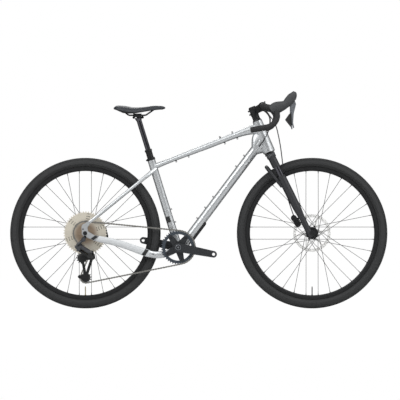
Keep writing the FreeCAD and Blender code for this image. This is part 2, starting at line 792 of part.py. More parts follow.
SIDES = (-1, 1)
leg_turn = Rotation(Vector(0, 1, 0), -size("leg_tilt"))


def on_leg(height, side):
    """A place on a leg's axis, at a height above the axle."""
    return Placement(leg_foot + leg_up * height + Vector(0, side * size("leg_spread"), 0), leg_turn)


def at_axle(point, plane):
    """A place for a round piece whose axis runs across the bicycle from a plane."""
    return Placement(point + Vector(0, plane, 0), ALONG_Y)


headset_height = 8
headset_gap = 4
stem_low = size("head_tube_length") + headset_height + size("spacer_stack")
steerer_top = stem_low + size("stem_height")
stanchion_low = 195
stanchion_in = 10


def fork_crown():
    """The steerer, its race, the crown over the tyre and the two sleeves, bored for the stanchions."""
    low = 20
    steerer = cylinder("dims.steerer_radius", str(steerer_top + low), tilted(head_low - steer_up * low,
                                                                         size("head_tilt")))
    race = turned("race", "XZ_Plane", [
        ("0", "-16"), ("25", "-16"), ("23", f"-{headset_gap} - dims.side_gap"),
        ("0", f"-{headset_gap} - dims.side_gap"),
    ], tilted(head_low, size("head_tilt")))
    bridge = new_body("bridge")
    end = "dims.leg_spread + dims.sleeve_radius - 1"
    pad(bridge, [
        (f"-({end})", "dims.crown_low"), (end, "dims.crown_low"), (end, "dims.crown_low + 9"),
        ("30", "dims.crown_top"), ("-30", "dims.crown_top"), (f"-({end})", "dims.crown_low + 9"),
    ], "dims.crown_depth", plane="YZ_Plane")
    bridge.Placement = tilted(leg_foot, size("leg_tilt"))
    sleeves = [cylinder("dims.sleeve_radius", f"dims.crown_low - dims.sleeve_low + {stanchion_in}",
                        on_leg(size("sleeve_low"), side)) for side in SIDES]
    bores = [cylinder("dims.stanchion_radius", f"dims.crown_low - dims.sleeve_low + {stanchion_in - 4} + 1",
                      on_leg(size("sleeve_low") - 1, side)) for side in SIDES]
    return less("fork_crown", fused([steerer, race, bridge] + sleeves), fused(bores))


def fork_lowers():
    """Two tapered legs with axle ends and a brake post, joined by an arch behind the tyre."""
    bore = "dims.stanchion_radius + 3 * dims.running_gap"
    legs = [turned("leg", "XZ_Plane", [
        ("0", "-15"), ("dims.leg_foot_radius - 4", "-15"), ("dims.leg_foot_radius", "-10"),
        ("dims.leg_foot_radius + 1", "90"), ("dims.leg_radius - 1", "140"), ("dims.leg_radius", "200"),
        ("dims.leg_radius", "dims.leg_top"), (bore, "dims.leg_top"), (bore, "150"), ("0", "150"),
    ], on_leg(0, side)) for side in SIDES]
    end = "dims.leg_spread - dims.front_hub_half + 13"
    ends = [cylinder("dims.front_axle_radius + 6", end, at_axle(front_axle, size("front_hub_half"))),
            cylinder("dims.front_axle_radius + 6", end,
                     at_axle(front_axle, -size("leg_spread") - 13))]
    bend = []
    behind = size("leg_radius") - 2.5
    for side in SIDES:
        root = leg_foot + leg_up * 264 - leg_fore * behind + Vector(0, side * (size("leg_spread") - 2), 0)
        knee = front_axle + Vector(-212, side * 48, 308)
        bend.append((root, knee))
    crest = front_axle + Vector(-219, 0, 317)
    arch = solid("arch", tube(rounded([bend[0][0], bend[0][1], crest, bend[1][1], bend[1][0]], [22] * 3), 9))
    post = solid("brake_post", web((leg_foot + leg_up * 82, front_caliper_at), (13, 13), Vector(0, 1, 0),
                                   caliper_side, caliper_side + 8))
    hollows = [cylinder("dims.front_axle_radius", "2 * dims.leg_spread + 60",
                        at_axle(front_axle, -size("leg_spread") - 30))]
    for side in SIDES:
        hollows.append(cylinder(bore, "dims.leg_top - 150", on_leg(150, side)))
    return less("fork_lowers", fused(legs + ends + [arch, post]), fused(hollows))


def caliper(axle, points, radius, disc_radius, disc_plane, outer):
    """A brake caliper with a slot that the disc turns in."""
    body = web(points, (radius, radius), Vector(0, 1, 0), 2 * disc_plane - outer, outer)
    slot = Part.makeCylinder(disc_radius + 2, 4.2, axle + Vector(0, disc_plane - 2.1, 0), Vector(0, 1, 0))
    return body.cut(slot)


caliper_side = size("front_hub_half") - 3
front_caliper_at = front_axle + Vector(-76, 0, 58)
crown = fork_crown()
stanchion_length = f"dims.crown_low + {stanchion_in - 4} - {stanchion_low}"
group("stanchions", [
    cylinder("dims.stanchion_radius", stanchion_length, on_leg(stanchion_low, side)) for side in SIDES])
fork_lowers()
group("fork_wipers", [turned("wiper", "XZ_Plane", [
    ("dims.stanchion_radius + 2 * dims.running_gap", "dims.leg_top"), ("dims.leg_radius", "dims.leg_top"),
    ("dims.leg_radius - 3", "dims.leg_top + 7"),
    ("dims.stanchion_radius + 2 * dims.running_gap", "dims.leg_top + 7"),
], on_leg(0, side)) for side in SIDES])
front_caliper_ends = (front_caliper_at + Vector(-11, 0, 15), front_caliper_at + Vector(10, 0, -14))
feature("front_caliper", caliper(front_axle, front_caliper_ends, 14, size("front_rotor_radius"),
                                 size("front_rotor_plane"), caliper_side))
rear_caliper_at = rear_axle + Vector(92, 0, 2)
rear_caliper_ends = (rear_caliper_at + Vector(-4, 0, 16), rear_caliper_at + Vector(4, 0, -18))
feature("rear_caliper", caliper(rear_axle, rear_caliper_ends, 13, size("rear_rotor_radius"),
                                size("rear_rotor_plane"), size("rear_rotor_plane") + 10,
                                ).cut(NODES_BY_LABEL["frame"].Shape))


# Headset, spacers, stem and bar

bearing_depth = 12
headset_place = tilted(head_low, size("head_tilt"))
inner = "dims.steerer_radius + dims.running_gap"
tube_top = "dims.head_tube_length"
group("headset_bearings", [
    turned("upper_bearing", "XZ_Plane", [
        (inner, f"{tube_top} - {bearing_depth}"), ("dims.head_bore", f"{tube_top} - {bearing_depth}"),
        ("dims.head_bore", tube_top), ("dims.head_radius_top", tube_top),
        ("dims.stem_radius", f"{tube_top} + {headset_height} - dims.running_gap"),
        (inner, f"{tube_top} + {headset_height} - dims.running_gap"),
    ], headset_place),
    turned("lower_bearing", "XZ_Plane", [
        (inner, f"-{headset_gap}"), ("dims.head_radius_low - 3", f"-{headset_gap}"),
        ("dims.head_radius_low - 1", "0"),
        ("dims.head_bore", "0"), ("dims.head_bore", str(bearing_depth)), (inner, str(bearing_depth)),
    ], headset_place),
])
spacer_low = f"{tube_top} + {headset_height}"
group("headset_spacers", [
    turned("spacer", "XZ_Plane", [
        ("dims.steerer_radius", f"{spacer_low} + dims.spacer_stack * {index} / 3"),
        ("dims.stem_radius - 1", f"{spacer_low} + dims.spacer_stack * {index} / 3"),
        ("dims.stem_radius - 1", f"{spacer_low} + dims.spacer_stack * {index + 1} / 3"),
        ("dims.steerer_radius", f"{spacer_low} + dims.spacer_stack * {index + 1} / 3"),
    ], headset_place) for index in range(3)
] + [turned("top_cap", "XZ_Plane", [
    ("0", str(steerer_top)), ("dims.stem_radius - 1", str(steerer_top)),
    ("dims.stem_radius - 4", str(steerer_top + 5)), ("0", str(steerer_top + 5)),
], headset_place)])

stem_angle = head_lean + math.radians(size("stem_rise"))
stem_fore = Vector(math.cos(stem_angle), 0, math.sin(stem_angle))
stem_at = head_low + steer_up * (stem_low + size("stem_height") / 2)
bar_at = stem_at + stem_fore * size("stem_length")
clamp_radius = size("bar_radius") + 6
clamp_half = 24


def stem_parts():
    """A short stem whose front half is a separate faceplate, with its bolts."""
    collar_low = head_low + steer_up * stem_low
    collar = Part.makeCylinder(size("stem_radius"), size("stem_height"), collar_low, steer_up)
    across = Vector(0, 1, 0)
    barrel = Part.makeCylinder(clamp_radius, 2 * clamp_half, bar_at - across * clamp_half, across)
    neck = web((stem_at, bar_at), (size("stem_radius") - 2, clamp_radius - 3), across, -15, 15)
    steerer = rod(stem_at - steer_up * 90, stem_at + steer_up * 90, size("steerer_radius"))
    bar = rod(bar_at - across * 40, bar_at + across * 40, size("bar_radius"))
    collar_top = head_low + steer_up * (stem_low + size("stem_height"))
    cap_room = rod(collar_top, collar_top + steer_up * 10, size("stem_radius"))
    whole = collar.fuse([barrel, neck]).cut([steerer, bar, cap_room])
    front = Part.makeBox(60, 80, 80, Vector(0, -40, -40))
    front.Placement = Placement(bar_at, Rotation(Vector(0, 1, 0), -math.degrees(stem_angle)))
    face = barrel.cut(bar).common(front)
    face.translate(stem_fore * 0.01)
    feature("stem", whole.cut(front).removeSplitter())
    feature("stem_faceplate", face)
    heads = []
    for side in SIDES:
        for level in SIDES:
            seat = bar_at + Vector(0, side * 16, 0) + Vector(-stem_fore.z, 0, stem_fore.x) * (level * 15)
            reach = stem_fore * math.sqrt(clamp_radius ** 2 - 15 ** 2)
            heads.append(rod(seat + reach * 1.12, seat + reach * 1.12 + stem_fore * 5, 3.4))
    for level in (11, 29):
        rear = head_low + steer_up * (stem_low + level) - steer_fore * (size("stem_radius") + 3)
        heads.append(rod(rear - Vector(0, 11, 0), rear + Vector(0, 11, 0), 4))
    feature("stem_bolts", Part.makeCompound([head.cut([whole, face]) for head in heads]))


def bar_path(start):
    """The right half of the bar, from a distance off the centre plane to the end of the drop."""
    flare = math.tan(math.radians(size("bar_flare")))
    spread = size("hood_spread")
    reach = size("bar_reach")
    drop = size("bar_drop")
    return rounded([
        bar_at + Vector(0, -start, 0),
        bar_at + Vector(0, -size("bar_bend"), 0),
        bar_at + Vector(reach, -spread, -16),
        bar_at + Vector(reach, -spread - (drop - 37) * flare, 21 - drop),
        bar_at + Vector(-57, -spread - (drop - 16) * flare, -drop),
    ], (42, 42, 61), 0.65)


def handlebar():
    """A flared drop bar, thickest where the stem holds it."""
    half = tube(bar_path(0), size("grip_radius"))
    thick, thin = size("bar_radius"), size("grip_radius")
    swell = turned_shape([(0, 0), (thick, 0), (thick, 52), (thin, 82), (0, 82)])
    swell.Placement = Placement(bar_at, Rotation(Vector(1, 0, 0), 90))
    right = half.fuse(swell)
    return feature("handlebar", right.fuse(mirrored(right)).removeSplitter())


def turned_shape(profile):
    """A turned solid about Z from radius and height pairs."""
    points = [Vector(radius, 0, height) for radius, height in profile]
    return Part.Face(Part.makePolygon(points + points[:1])).revolve(Vector(0, 0, 0), Vector(0, 0, 1), 360)


def bar_tape():
    """The wound tape on both sides, from the swell to the bar's ends."""
    wound = tube(bar_path(86), size("grip_radius") + size("tape_thickness"))
    right = wound.cut(tube(bar_path(60), size("grip_radius")))
    return feature("bar_tape", Part.makeCompound([right, mirrored(right)]))


def bar_plugs():
    """A round-headed plug that closes each end of the bar."""
    path = bar_path(86)
    last = path.Edges[-1]
    end = last.valueAt(last.LastParameter)
    along = last.tangentAt(last.LastParameter)
    rim = size("grip_radius") + size("tape_thickness")
    plug = turned_shape([(0, 0), (rim, 0), (size("grip_radius"), 3), (0, 4)])
    plug.Placement = Placement(end, Rotation(Vector(0, 0, 1), along))
    return feature("bar_plugs", Part.makeCompound([plug, mirrored(plug)]))


stem_parts()
handlebar()
bar_tape()
bar_plugs()


# Lever bodies, brake levers and paddles, made on the right and mirrored

lever_pivot = bar_at + Vector(143, -size("hood_spread"), 16)
hood_half = 17


def hood():
    """A rubber-covered lever body that rises to a horn, slotted for the lever and drilled for its pin."""
    line = [(40, -22, 22, 14), (58, -9, 26, hood_half), (86, 0, 23, hood_half + 1), (109, 10, 19, hood_half),
            (130, 31, 23, hood_half), (143, 50, 19, hood_half - 2), (150, 68, 7, 8)]
    across = Vector(0, -size("hood_spread"), 0)
    form = blend([(bar_at + across + Vector(x, 0, z), high, wide) for x, z, high, wide in line])
    gap = size("lever_width") / 2 + 0.7
    slot = Part.makeBox(62, 2 * gap, 92, lever_pivot + Vector(-24, -gap, -80))
    pin = rod(lever_pivot + Vector(0, -hood_half + 3, 0), lever_pivot + Vector(0, hood_half - 3, 0), 2.5)
    tape = tube(bar_path(86), size("grip_radius") + size("tape_thickness") + 0.05)
    return max(form.cut([slot, pin, tape]).Solids, key=lambda piece: piece.Volume), pin


def brake_lever(label, side):
    """A curved blade on a pin through the lever body."""
    body = new_body(label)
    pad(body, [
        ("-1", "-122"), ("5", "-120"), ("0", "-96"), ("3", "-52"), ("14", "-8"), ("8", "9"), ("-8", "6"),
        ("-9", "-14"), ("-8", "-55"), ("-6", "-95"),
    ], "dims.lever_width", holes=[("0", "0", "2.5 + dims.running_gap")])
    place = Vector(lever_pivot.x, side * size("hood_spread"), lever_pivot.z)
    return keep(body, label, Placement(place, Rotation()))


def paddle(label, side):
    """A shift paddle that hangs on the inner face of a brake lever."""
    body = new_body(label)
    pad(body, [("-4", "-112"), ("-4", "-46"), ("-12", "-47"), ("-32", "-76")], "3")
    inset = size("lever_width") / 2 + 0.3 + 1.5
    place = Vector(lever_pivot.x, side * (size("hood_spread") - inset), lever_pivot.z)
    return keep(body, label, Placement(place, Rotation()))


hood_form, hood_pin = hood()
feature("hoods", Part.makeCompound([hood_form, hood_pin, mirrored(hood_form), mirrored(hood_pin)]))
brake_lever("brake_lever_right", -1)
brake_lever("brake_lever_left", 1)
paddle("shift_paddle", -1)
paddle("dropper_paddle", 1)


# Seat group

seat_place = tilted(seat_top, size("seat_tilt"))
saddle_at = seat_top + seat_up * size("saddle_height")
lathe("dropper_outer_tube", "XZ_Plane", [
    ("dims.post_stanchion + dims.running_gap", "-200"), ("dims.post_radius", "-200"),
    ("dims.post_radius", "dims.post_exposed - 9"), ("dims.post_radius + 2", "dims.post_exposed - 8"),
    ("dims.post_radius + 2", "dims.post_exposed"),
    ("dims.post_stanchion + dims.running_gap", "dims.post_exposed + 2"),
], seat_place)
lathe("dropper_inner_post", "XZ_Plane", [
    ("0", "-30"), ("dims.post_stanchion", "-30"), ("dims.post_stanchion", "dims.saddle_height - 22"),
    ("dims.post_stanchion + 4", "dims.saddle_height - 12"),
    ("dims.post_stanchion + 4", "dims.saddle_height - 5"),
    ("0", "dims.saddle_height - 5"),
], seat_place)
clamp_bolt_at = seat_top + seat_up * 6 - Vector(math.cos(seat_lean), 0, math.sin(seat_lean)) * 21
seat_collar = turned("seat_collar", "XZ_Plane", [
    ("dims.post_radius", "0"), ("dims.seat_tube_radius + 1.5", "0"), ("dims.seat_tube_radius + 1.5", "12"),
    ("dims.post_radius", "12"),
], seat_place)
doc.recompute()
clamp_bolt = rod(clamp_bolt_at - Vector(0, 11, 0), clamp_bolt_at + Vector(0, 11, 0), 4).cut(seat_collar.Shape)
group("seat_clamp", [seat_collar, solid("clamp_bolt", clamp_bolt)])

# Saddle sections: distance ahead of the clamp, half width as a share, crown and edge heights
SADDLE_LINE = [(-0.466, 0.52, 44, 35), (-0.40, 0.88, 52, 30), (-0.24, 1.0, 50, 21), (-0.08, 0.78, 43, 18),
               (0.12, 0.48, 45, 24), (0.32, 0.33, 51, 31), (0.46, 0.27, 50, 36), (0.534, 0.16, 46, 38)]


cover_clearance = 0.4


def saddle_arc(station, height, wide):
    """One arc of a saddle section, from edge to edge through a point on the centre plane."""
    share, width, crown, edge = station
    ahead = saddle_at.x + share * size("saddle_length")
    half = width * size("saddle_half_width") * wide
    points = [Vector(ahead, -half, saddle_at.z + edge), Vector(ahead, 0, saddle_at.z + height),
              Vector(ahead, half, saddle_at.z + edge)]
    return Part.Arc(*points).toShape()


def saddle():
    """A crowned pad on a thin shell, both lofted through arcs."""
    pads = []
    shells = []
    for station in SADDLE_LINE:
        crown, edge = station[2], station[3]
        pads.append(Part.Wire([saddle_arc(station, crown, 1), saddle_arc(station, edge + 6, 1)]))
        low = edge - cover_clearance
        lowered = station[:3] + (low,)
        shells.append(Part.Wire([saddle_arc(lowered, low + 6, 0.985), saddle_arc(lowered, low + 1.5, 0.985)]))
    cushion = Part.makeLoft(pads, True, False)
    shell = Part.makeLoft(shells, True, False)
    return cushion, shell


def rails():
    """The two saddle rails, straight where the clamp holds them."""
    bars = []
    for side in SIDES:
        points = [(-74, 29, 0.9), (-44, 5, 1), (38, 5, 1), (86, 38, 0.55)]
        path = [saddle_at + Vector(x, side * size("rail_spread") * spread, z) for x, z, spread in points]
        bars.append(tube(rounded(path, [24] * len(path)), size("rail_radius")))
    return bars


cushion, saddle_base = saddle()
bars = rails()
feature("saddle_cover", cushion.cut(bars))
feature("saddle_shell", max(saddle_base.cut(bars).Solids, key=lambda piece: piece.Volume))
feature("saddle_rails", Part.makeCompound([bar.cut(cushion) for bar in bars]))
cradle_corner = saddle_at + Vector(-22, -size("rail_spread") - 7, -4)
cradle = Part.makeBox(40, 2 * size("rail_spread") + 14, 17, cradle_corner)
doc.recompute()
feature("saddle_clamp", cradle.cut(bars + [NODES_BY_LABEL["dropper_inner_post"].Shape]))


# Drive

COGS = (10, 12, 14, 16, 18, 21, 24, 28, 33, 39, 45, 51)
CHAIN_COG = 7
across = Vector(0, 1, 0)


def pitch_radius(teeth):
    """The radius on which the chain's pins turn."""
    return size("chain_pitch") / 2 / math.sin(math.pi / teeth)


def sprocket(teeth, bore, phase, thickness):
    """A toothed plate about Y whose gaps hold chain rollers, with one gap at an angle called the phase."""
    pins = pitch_radius(teeth)
    root = size("roller_radius") + 0.15
    seat = 0.675 * size("roller_radius")
    tip = 0.57 * size("roller_radius")
    crest = 1.2
    outline = []
    for index in range(teeth):
        gap = phase + index * 2 * math.pi / teeth
        tooth = gap + math.pi / teeth
        for angle, out, aside in ((gap, pins - root, -seat), (gap, pins - root, seat),
                                  (tooth, pins + tip, -crest), (tooth, pins + tip, crest)):
            outline.append(Vector(out * math.cos(angle) - aside * math.sin(angle), 0,
                                  out * math.sin(angle) + aside * math.cos(angle)))
    plate = Part.Face(Part.makePolygon(outline + outline[:1])).extrude(across * thickness)
    plate.translate(across * (-thickness / 2))
    hole = Part.makeCylinder(bore, thickness + 2, across * (-thickness / 2 - 1), across)
    return plate.cut(hole)


def tangent(first, second):
    """Where a chain leaves one sprocket and meets the next: each is centre, radius, turn (1 left)."""
    start, one, turn_one = first[:3]
    end, two, turn_two = second[:3]
    run = end - start
    heading = math.atan2(run.z, run.x)
    lean = math.asin((turn_one * one - turn_two * two) / run.Length)
    angle = heading + lean
    side = Vector(math.sin(angle), 0, -math.cos(angle))
    return start + side * (turn_one * one), end + side * (turn_two * two)


def chain_loop(wheels):
    """The chain's runs as (length in links, function from links to a point), in the order that it travels."""
    runs = []
    pitch = size("chain_pitch")
    for index, wheel in enumerate(wheels):
        before = tangent(wheels[index - 1], wheel)[1]
        leave, meet = tangent(wheel, wheels[(index + 1) % len(wheels)])
        centre, radius, turn, teeth = wheel[0], wheel[1], wheel[2], wheel[3]
        first = math.atan2(before.z - centre.z, before.x - centre.x)
        last = math.atan2(leave.z - centre.z, leave.x - centre.x)
        swept = (turn * (last - first)) % (2 * math.pi)
        runs.append((swept * teeth / (2 * math.pi), ("arc", centre, radius, turn, first, teeth)))
        runs.append(((meet - leave).Length / pitch, ("line", leave, (meet - leave).normalize())))
    return runs


def chain_point(runs, count):
    """The point that lies a number of links along the loop."""
    for length, way in runs:
        if count > length:
            count -= length
            continue
        if way[0] == "line":
            return way[1] + way[2] * (count * size("chain_pitch"))
        angle = way[4] + way[3] * count * 2 * math.pi / way[5]
        return way[1] + Vector(math.cos(angle), 0, math.sin(angle)) * way[2]
    return chain_point(runs, 0)


def wheels_at(swing):
    """The four sprockets of the chain's loop, with the derailleur cage swung by an angle."""
    turned_cage = Rotation(across, math.degrees(-swing))
    guide = cage_pivot + turned_cage.multVec(Vector(-49, 0, -2))
    tension = cage_pivot + turned_cage.multVec(Vector(-38, 0, -96))
    ring_count, cog, jockey = int(size("ring_teeth")), COGS[CHAIN_COG], int(size("pulley_teeth"))
    return [
        (bb, pitch_radius(ring_count), -1, ring_count),
        (tension, pitch_radius(jockey), -1, jockey),
        (guide, pitch_radius(jockey), 1, jockey),
        (rear_axle, pitch_radius(cog), -1, cog),
    ]


def links_at(swing):
    """The length of the whole loop in links."""
    return sum(length for length, way in chain_loop(wheels_at(swing)))


def cage_swing():
    """The swing that makes the loop an even number of links."""
    wanted = 2 * round(links_at(0) / 2)
    low, high = -0.25, 0.25
    rising = links_at(high) > links_at(low)
    for step in range(40):
        middle = (low + high) / 2
        if (links_at(middle) < wanted) == rising:
            low = middle
        else:
            high = middle
    return (low + high) / 2, wanted


cage_pivot = rear_axle + Vector(34, 0, -114)
swing, link_count = cage_swing()
WHEELS = wheels_at(swing)
LOOP = chain_loop(WHEELS)
rollers = [chain_point(LOOP, index) for index in range(link_count)]


def phase_on(wheel):
    """The angle of one roller that rides on a sprocket."""
    centre, radius = wheel[0], wheel[1]
    nearest = min(rollers, key=lambda roller: abs((roller - centre).Length - radius))
    return math.atan2(nearest.z - centre.z, nearest.x - centre.x)


def link_plate(height, low, high):
    """A six-sided side plate along X, from one pin to the next."""
    half = size("chain_pitch") / 2
    points = [Vector(-half - 3.6, low, 0), Vector(-half, low, -height), Vector(half, low, -height),
              Vector(half + 3.6, low, 0), Vector(half, low, height), Vector(-half, low, height)]
    return Part.Face(Part.makePolygon(points + points[:1])).extrude(across * (high - low))


def chain():
    """Inner links with their rollers and outer plates in turn, seated on the teeth."""
    half = size("chain_pitch") / 2
    pieces = [link_plate(3.9, -1.8, -1.05), link_plate(3.9, 1.05, 1.8)]
    for pin in (-half, half):
        pieces.append(Part.makeCylinder(size("roller_radius"), 2.1, Vector(pin, -1.05, 0), across))
    inner_link = pieces[0].fuse(pieces[1:])
    outer_link = [link_plate(3.7, -2.45, -1.82), link_plate(3.7, 1.82, 2.45)]
    solids = []
    for index, roller in enumerate(rollers):
        following = rollers[(index + 1) % link_count]
        run = following - roller
        place = Placement((roller + following) * 0.5 - across * size("chain_line"),
                          Rotation(across, -math.degrees(math.atan2(run.z, run.x))))
        for piece in ([inner_link] if index % 2 == 0 else outer_link):
            copy = piece.copy()
            copy.Placement = place
            solids.append(copy)
    return feature("chain", Part.makeCompound(solids))


def relief_holes(circle):
    """Groups of three round holes that lighten a large sprocket."""
    holes = []
    for group_index in range(6):
        for place in (-1, 0, 1):
            angle = math.radians(group_index * 60 + place * 360 / circle + 20)
            centre = Vector(math.cos(angle), 0, math.sin(angle)) * circle
            holes.append(rod(centre - across * 5, centre + across * 5, 2.2))
    return holes


def cassette():
    """Twelve sprockets, the smallest outermost, on the freehub body."""
    plates = []
    for index, teeth in enumerate(COGS):
        phase = phase_on(WHEELS[3]) if index == CHAIN_COG else 0
        plate = sprocket(teeth, size("freehub_radius"), phase, size("cog_thickness"))
        if index and pitch_radius(teeth) - pitch_radius(COGS[index - 1]) > 6:
            plate = plate.cut(relief_holes(pitch_radius(COGS[index - 1]) + 2.5))
        plate.translate(rear_axle - across * (size("chain_line") + (CHAIN_COG - index) * size("cog_pitch")))
        plates.append(plate)
    return feature("cassette", Part.makeCompound(plates))


crank_slope = math.radians(size("crank_angle"))
pedal_right = bb + Vector(math.cos(crank_slope), 0, -math.sin(crank_slope)) * size("crank_length")
pedal_left = bb - (pedal_right - bb)
bolt_circle = 58
spider_end = 12
ring_inner = 63
spider_angles = [math.radians(lean) - crank_slope for lean in (63, 138, -138, -63)]
spider_bolts = [bb + Vector(math.cos(angle), 0, math.sin(angle)) * bolt_circle for angle in spider_angles]
ring_face = -size("chain_line") - size("cog_thickness") / 2
arm_in = size("crank_out") - size("crank_thickness")
cup_out = size("bb_shell_half") + 9


def chainring():
    """A toothed ring with four inner tabs for the spider."""
    plate = sprocket(int(size("ring_teeth")), ring_inner, phase_on(WHEELS[0]), size("cog_thickness"))
    plate.translate(bb - across * size("chain_line"))
    tabs = [Part.makeCylinder(spider_end, size("cog_thickness"), bolt + across * ring_face, across)
            for bolt in spider_bolts]
    return feature("chainring", plate.fuse(tabs).removeSplitter())


def right_crank():
    """The driven arm with its hub, spider and hollow-ended spindle, drilled for a pedal."""
    arm = web((bb, pedal_right), (size("crank_hub"), size("crank_eye")), across, -size("crank_out"), -arm_in)
    boss_end = bb - across * (cup_out + size("side_gap"))
    hub_boss = rod(bb - across * (arm_in + 1), boss_end, size("crank_hub") - 2)
    arms = [web((bb, bolt), (20, spider_end), across, ring_face - 6, ring_face) for bolt in spider_bolts]
    spindle = rod(bb - across * arm_in, bb + across * (size("crank_out") - 3), size("spindle_radius"))
    pedal = rod(pedal_right - across * 100, pedal_right, size("pedal_bore"))
    driven = arm.fuse([hub_boss] + arms).cut([pedal, spindle]).removeSplitter()
    return feature("crank_right", Part.makeCompound([driven, spindle]))


def left_crank():
    """The plain arm, clamped on the far end of the spindle."""
    arm = web((bb, pedal_left), (size("crank_hub"), size("crank_eye")), across, arm_in, size("crank_out"))
    boss_end = bb + across * (cup_out + size("side_gap"))
    hub_boss = rod(boss_end, bb + across * (arm_in + 1), size("crank_hub") - 2)
    spindle = rod(bb, bb + across * 100, size("spindle_radius"))
    pedal = rod(pedal_left, pedal_left + across * 100, size("pedal_bore"))
    return feature("crank_left", arm.fuse(hub_boss).cut([spindle, pedal]).removeSplitter())


chain()
cassette()
lathe("freehub_body", "XY_Plane", [
    ("dims.rear_axle_radius + dims.running_gap", "-dims.rear_hub_half + 2"),
    ("dims.freehub_radius", "-dims.rear_hub_half + 2"),
    ("dims.freehub_radius", "-dims.rear_flange_right - 4 - dims.side_gap"),
    ("dims.rear_axle_radius + dims.running_gap", "-dims.rear_flange_right - 4 - dims.side_gap"),
], Placement(rear_axle, Rotation()))
chainring()
right_crank()
left_crank()
cups = []
for side in SIDES:
    cups.append(turned("cup", "XY_Plane", [
        ("dims.spindle_radius + dims.running_gap", "14"), ("dims.bb_bore", "14"),
        ("dims.bb_bore", "dims.bb_shell_half"), ("dims.bb_shell_radius - 4", "dims.bb_shell_half"),
        ("dims.bb_shell_radius - 4", "dims.bb_shell_half + 9"),
        ("dims.spindle_radius + dims.running_gap", "dims.bb_shell_half + 9"),
    ], Placement(bb, Rotation(Vector(1, 0, 0), 0 if side == 1 else 180))))
group("bottom_bracket_cups", cups)


# Rear derailleur: a slanted parallelogram between two knuckles, with a sprung cage

link_along = Vector(0.845, 0, -0.535).normalize()
link_travel = Vector(-0.969, 1, -1.53).normalize()
link_axis = link_along.cross(link_travel).normalize()
link_length = 62
link_gap = 20
hanger_out = size("rear_hub_half") + size("dropout_thickness")
hanger_bolt = rear_axle + Vector(-7, 0, -30)
outer_pin = rear_axle + Vector(-22, -104, -61)
inner_pin = outer_pin + link_travel * link_gap
cage_gap = 4
pin_radius = 2.5
link_half = 10
cheek = 3


def link(label, start):
    """One bar of the parallelogram, bored for a pin at each end."""
    end = start + link_along * link_length
    bar = web((start, end), (5, 5), link_axis, -link_half, link_half)
    holes = [rod(point - link_axis * 30, point + link_axis * 30, pin_radius + size("running_gap"))
             for point in (start, end)]
    return feature(label, bar.cut(holes))


def knuckle_ends(first, second, beyond):
    """Two cheeks outside the links, with a bridge beyond their ends."""
    low = link_half + size("side_gap")
    middle = (first + second) * 0.5 + beyond
    pieces = []
    for bottom in (low, -low - cheek):
        pieces.append(web((first, second), (6.5, 6.5), link_axis, bottom, bottom + cheek))
        pieces.append(web((middle, (first + second) * 0.5), (7, 9), link_axis, bottom, bottom + cheek))
    pieces.append(rod(middle - link_axis * (low + cheek), middle + link_axis * (low + cheek), 6))
    return pieces, middle


def derailleur():
    """The hanger, the fixed knuckle, both links and the knuckle that carries the cage."""
    reach = link_half + size("side_gap") + cheek
    pins = [rod(point - link_axis * reach, point + link_axis * reach, pin_radius)
            for point in (outer_pin, inner_pin)]
    hanger = web((rear_axle + Vector(0, 0, -17), hanger_bolt), (6, 9), across, -hanger_out - 7, -hanger_out)
    feature("derailleur_hanger", hanger)
    ends, middle = knuckle_ends(outer_pin, inner_pin, link_along * -15)
    top = hanger_bolt - across * (hanger_out + 7)
    barrel = rod(top, top - across * 22, 11)
    arm = rod(top - across * 14, middle, 6)
    feature("derailleur_knuckle", barrel.fuse(ends + [arm] + pins).removeSplitter())
    link("outer_link", outer_pin)
    link("inner_link", inner_pin)
    far = outer_pin + link_along * link_length
    ends, middle = knuckle_ends(far, far + link_travel * link_gap, link_along * 14)
    journal = cage_pivot - across * (size("chain_line") + cage_gap + 1.5 + size("side_gap"))
    barrel = rod(journal, journal - across * 30, 14)
    arm = rod(journal - across * 22, middle, 7.5)
    pin = rod(far - link_axis * reach, far + link_axis * reach, pin_radius)
    feature("cage_knuckle", barrel.fuse(ends + [arm, pin]).removeSplitter())


def cage():
    """Two plates that carry both pulleys on pins, and the stub that turns in the knuckle."""
    guide, tension = WHEELS[2][0], WHEELS[1][0]
    line = -size("chain_line")
    pieces = []
    for low in (line - cage_gap - 1.5, line + cage_gap):
        pieces.append(web((cage_pivot, guide), (14, 10), across, low, low + 1.5))
        pieces.append(web((cage_pivot, tension), (6.5, 7), across, low, low + 1.5))
        pieces.append(web((guide, tension), (6, 7), across, low, low + 1.5))
        pieces.append(web((tension, tension + Vector(-30, 0, 4)), (13, 8), across, low, low + 1.5))
    for centre in (guide, tension):
        pieces.append(rod(centre + across * (line - cage_gap), centre + across * (line + cage_gap), 3))
    return feature("derailleur_cage", pieces[0].fuse(pieces[1:]).removeSplitter())


def pulley(label, wheel):
    """A toothed pulley that turns on a pin of the cage."""
    wheel_shape = sprocket(wheel[3], 3 + size("running_gap"), phase_on(wheel), size("cog_thickness"))
    wheel_shape.translate(wheel[0] - across * size("chain_line"))
    return feature(label, wheel_shape)


derailleur()
cage()
pulley("guide_pulley", WHEELS[2])
pulley("tension_pulley", WHEELS[1])


# Hoses and guards; each hose's points are chosen by hand from its route in side view

hose_radius = 2.5


def hose(points):
    """A smooth brake hose or cable housing through chosen points."""
    return tube(rounded([Vector(*point) for point in points], [30] * len(points)), hose_radius)


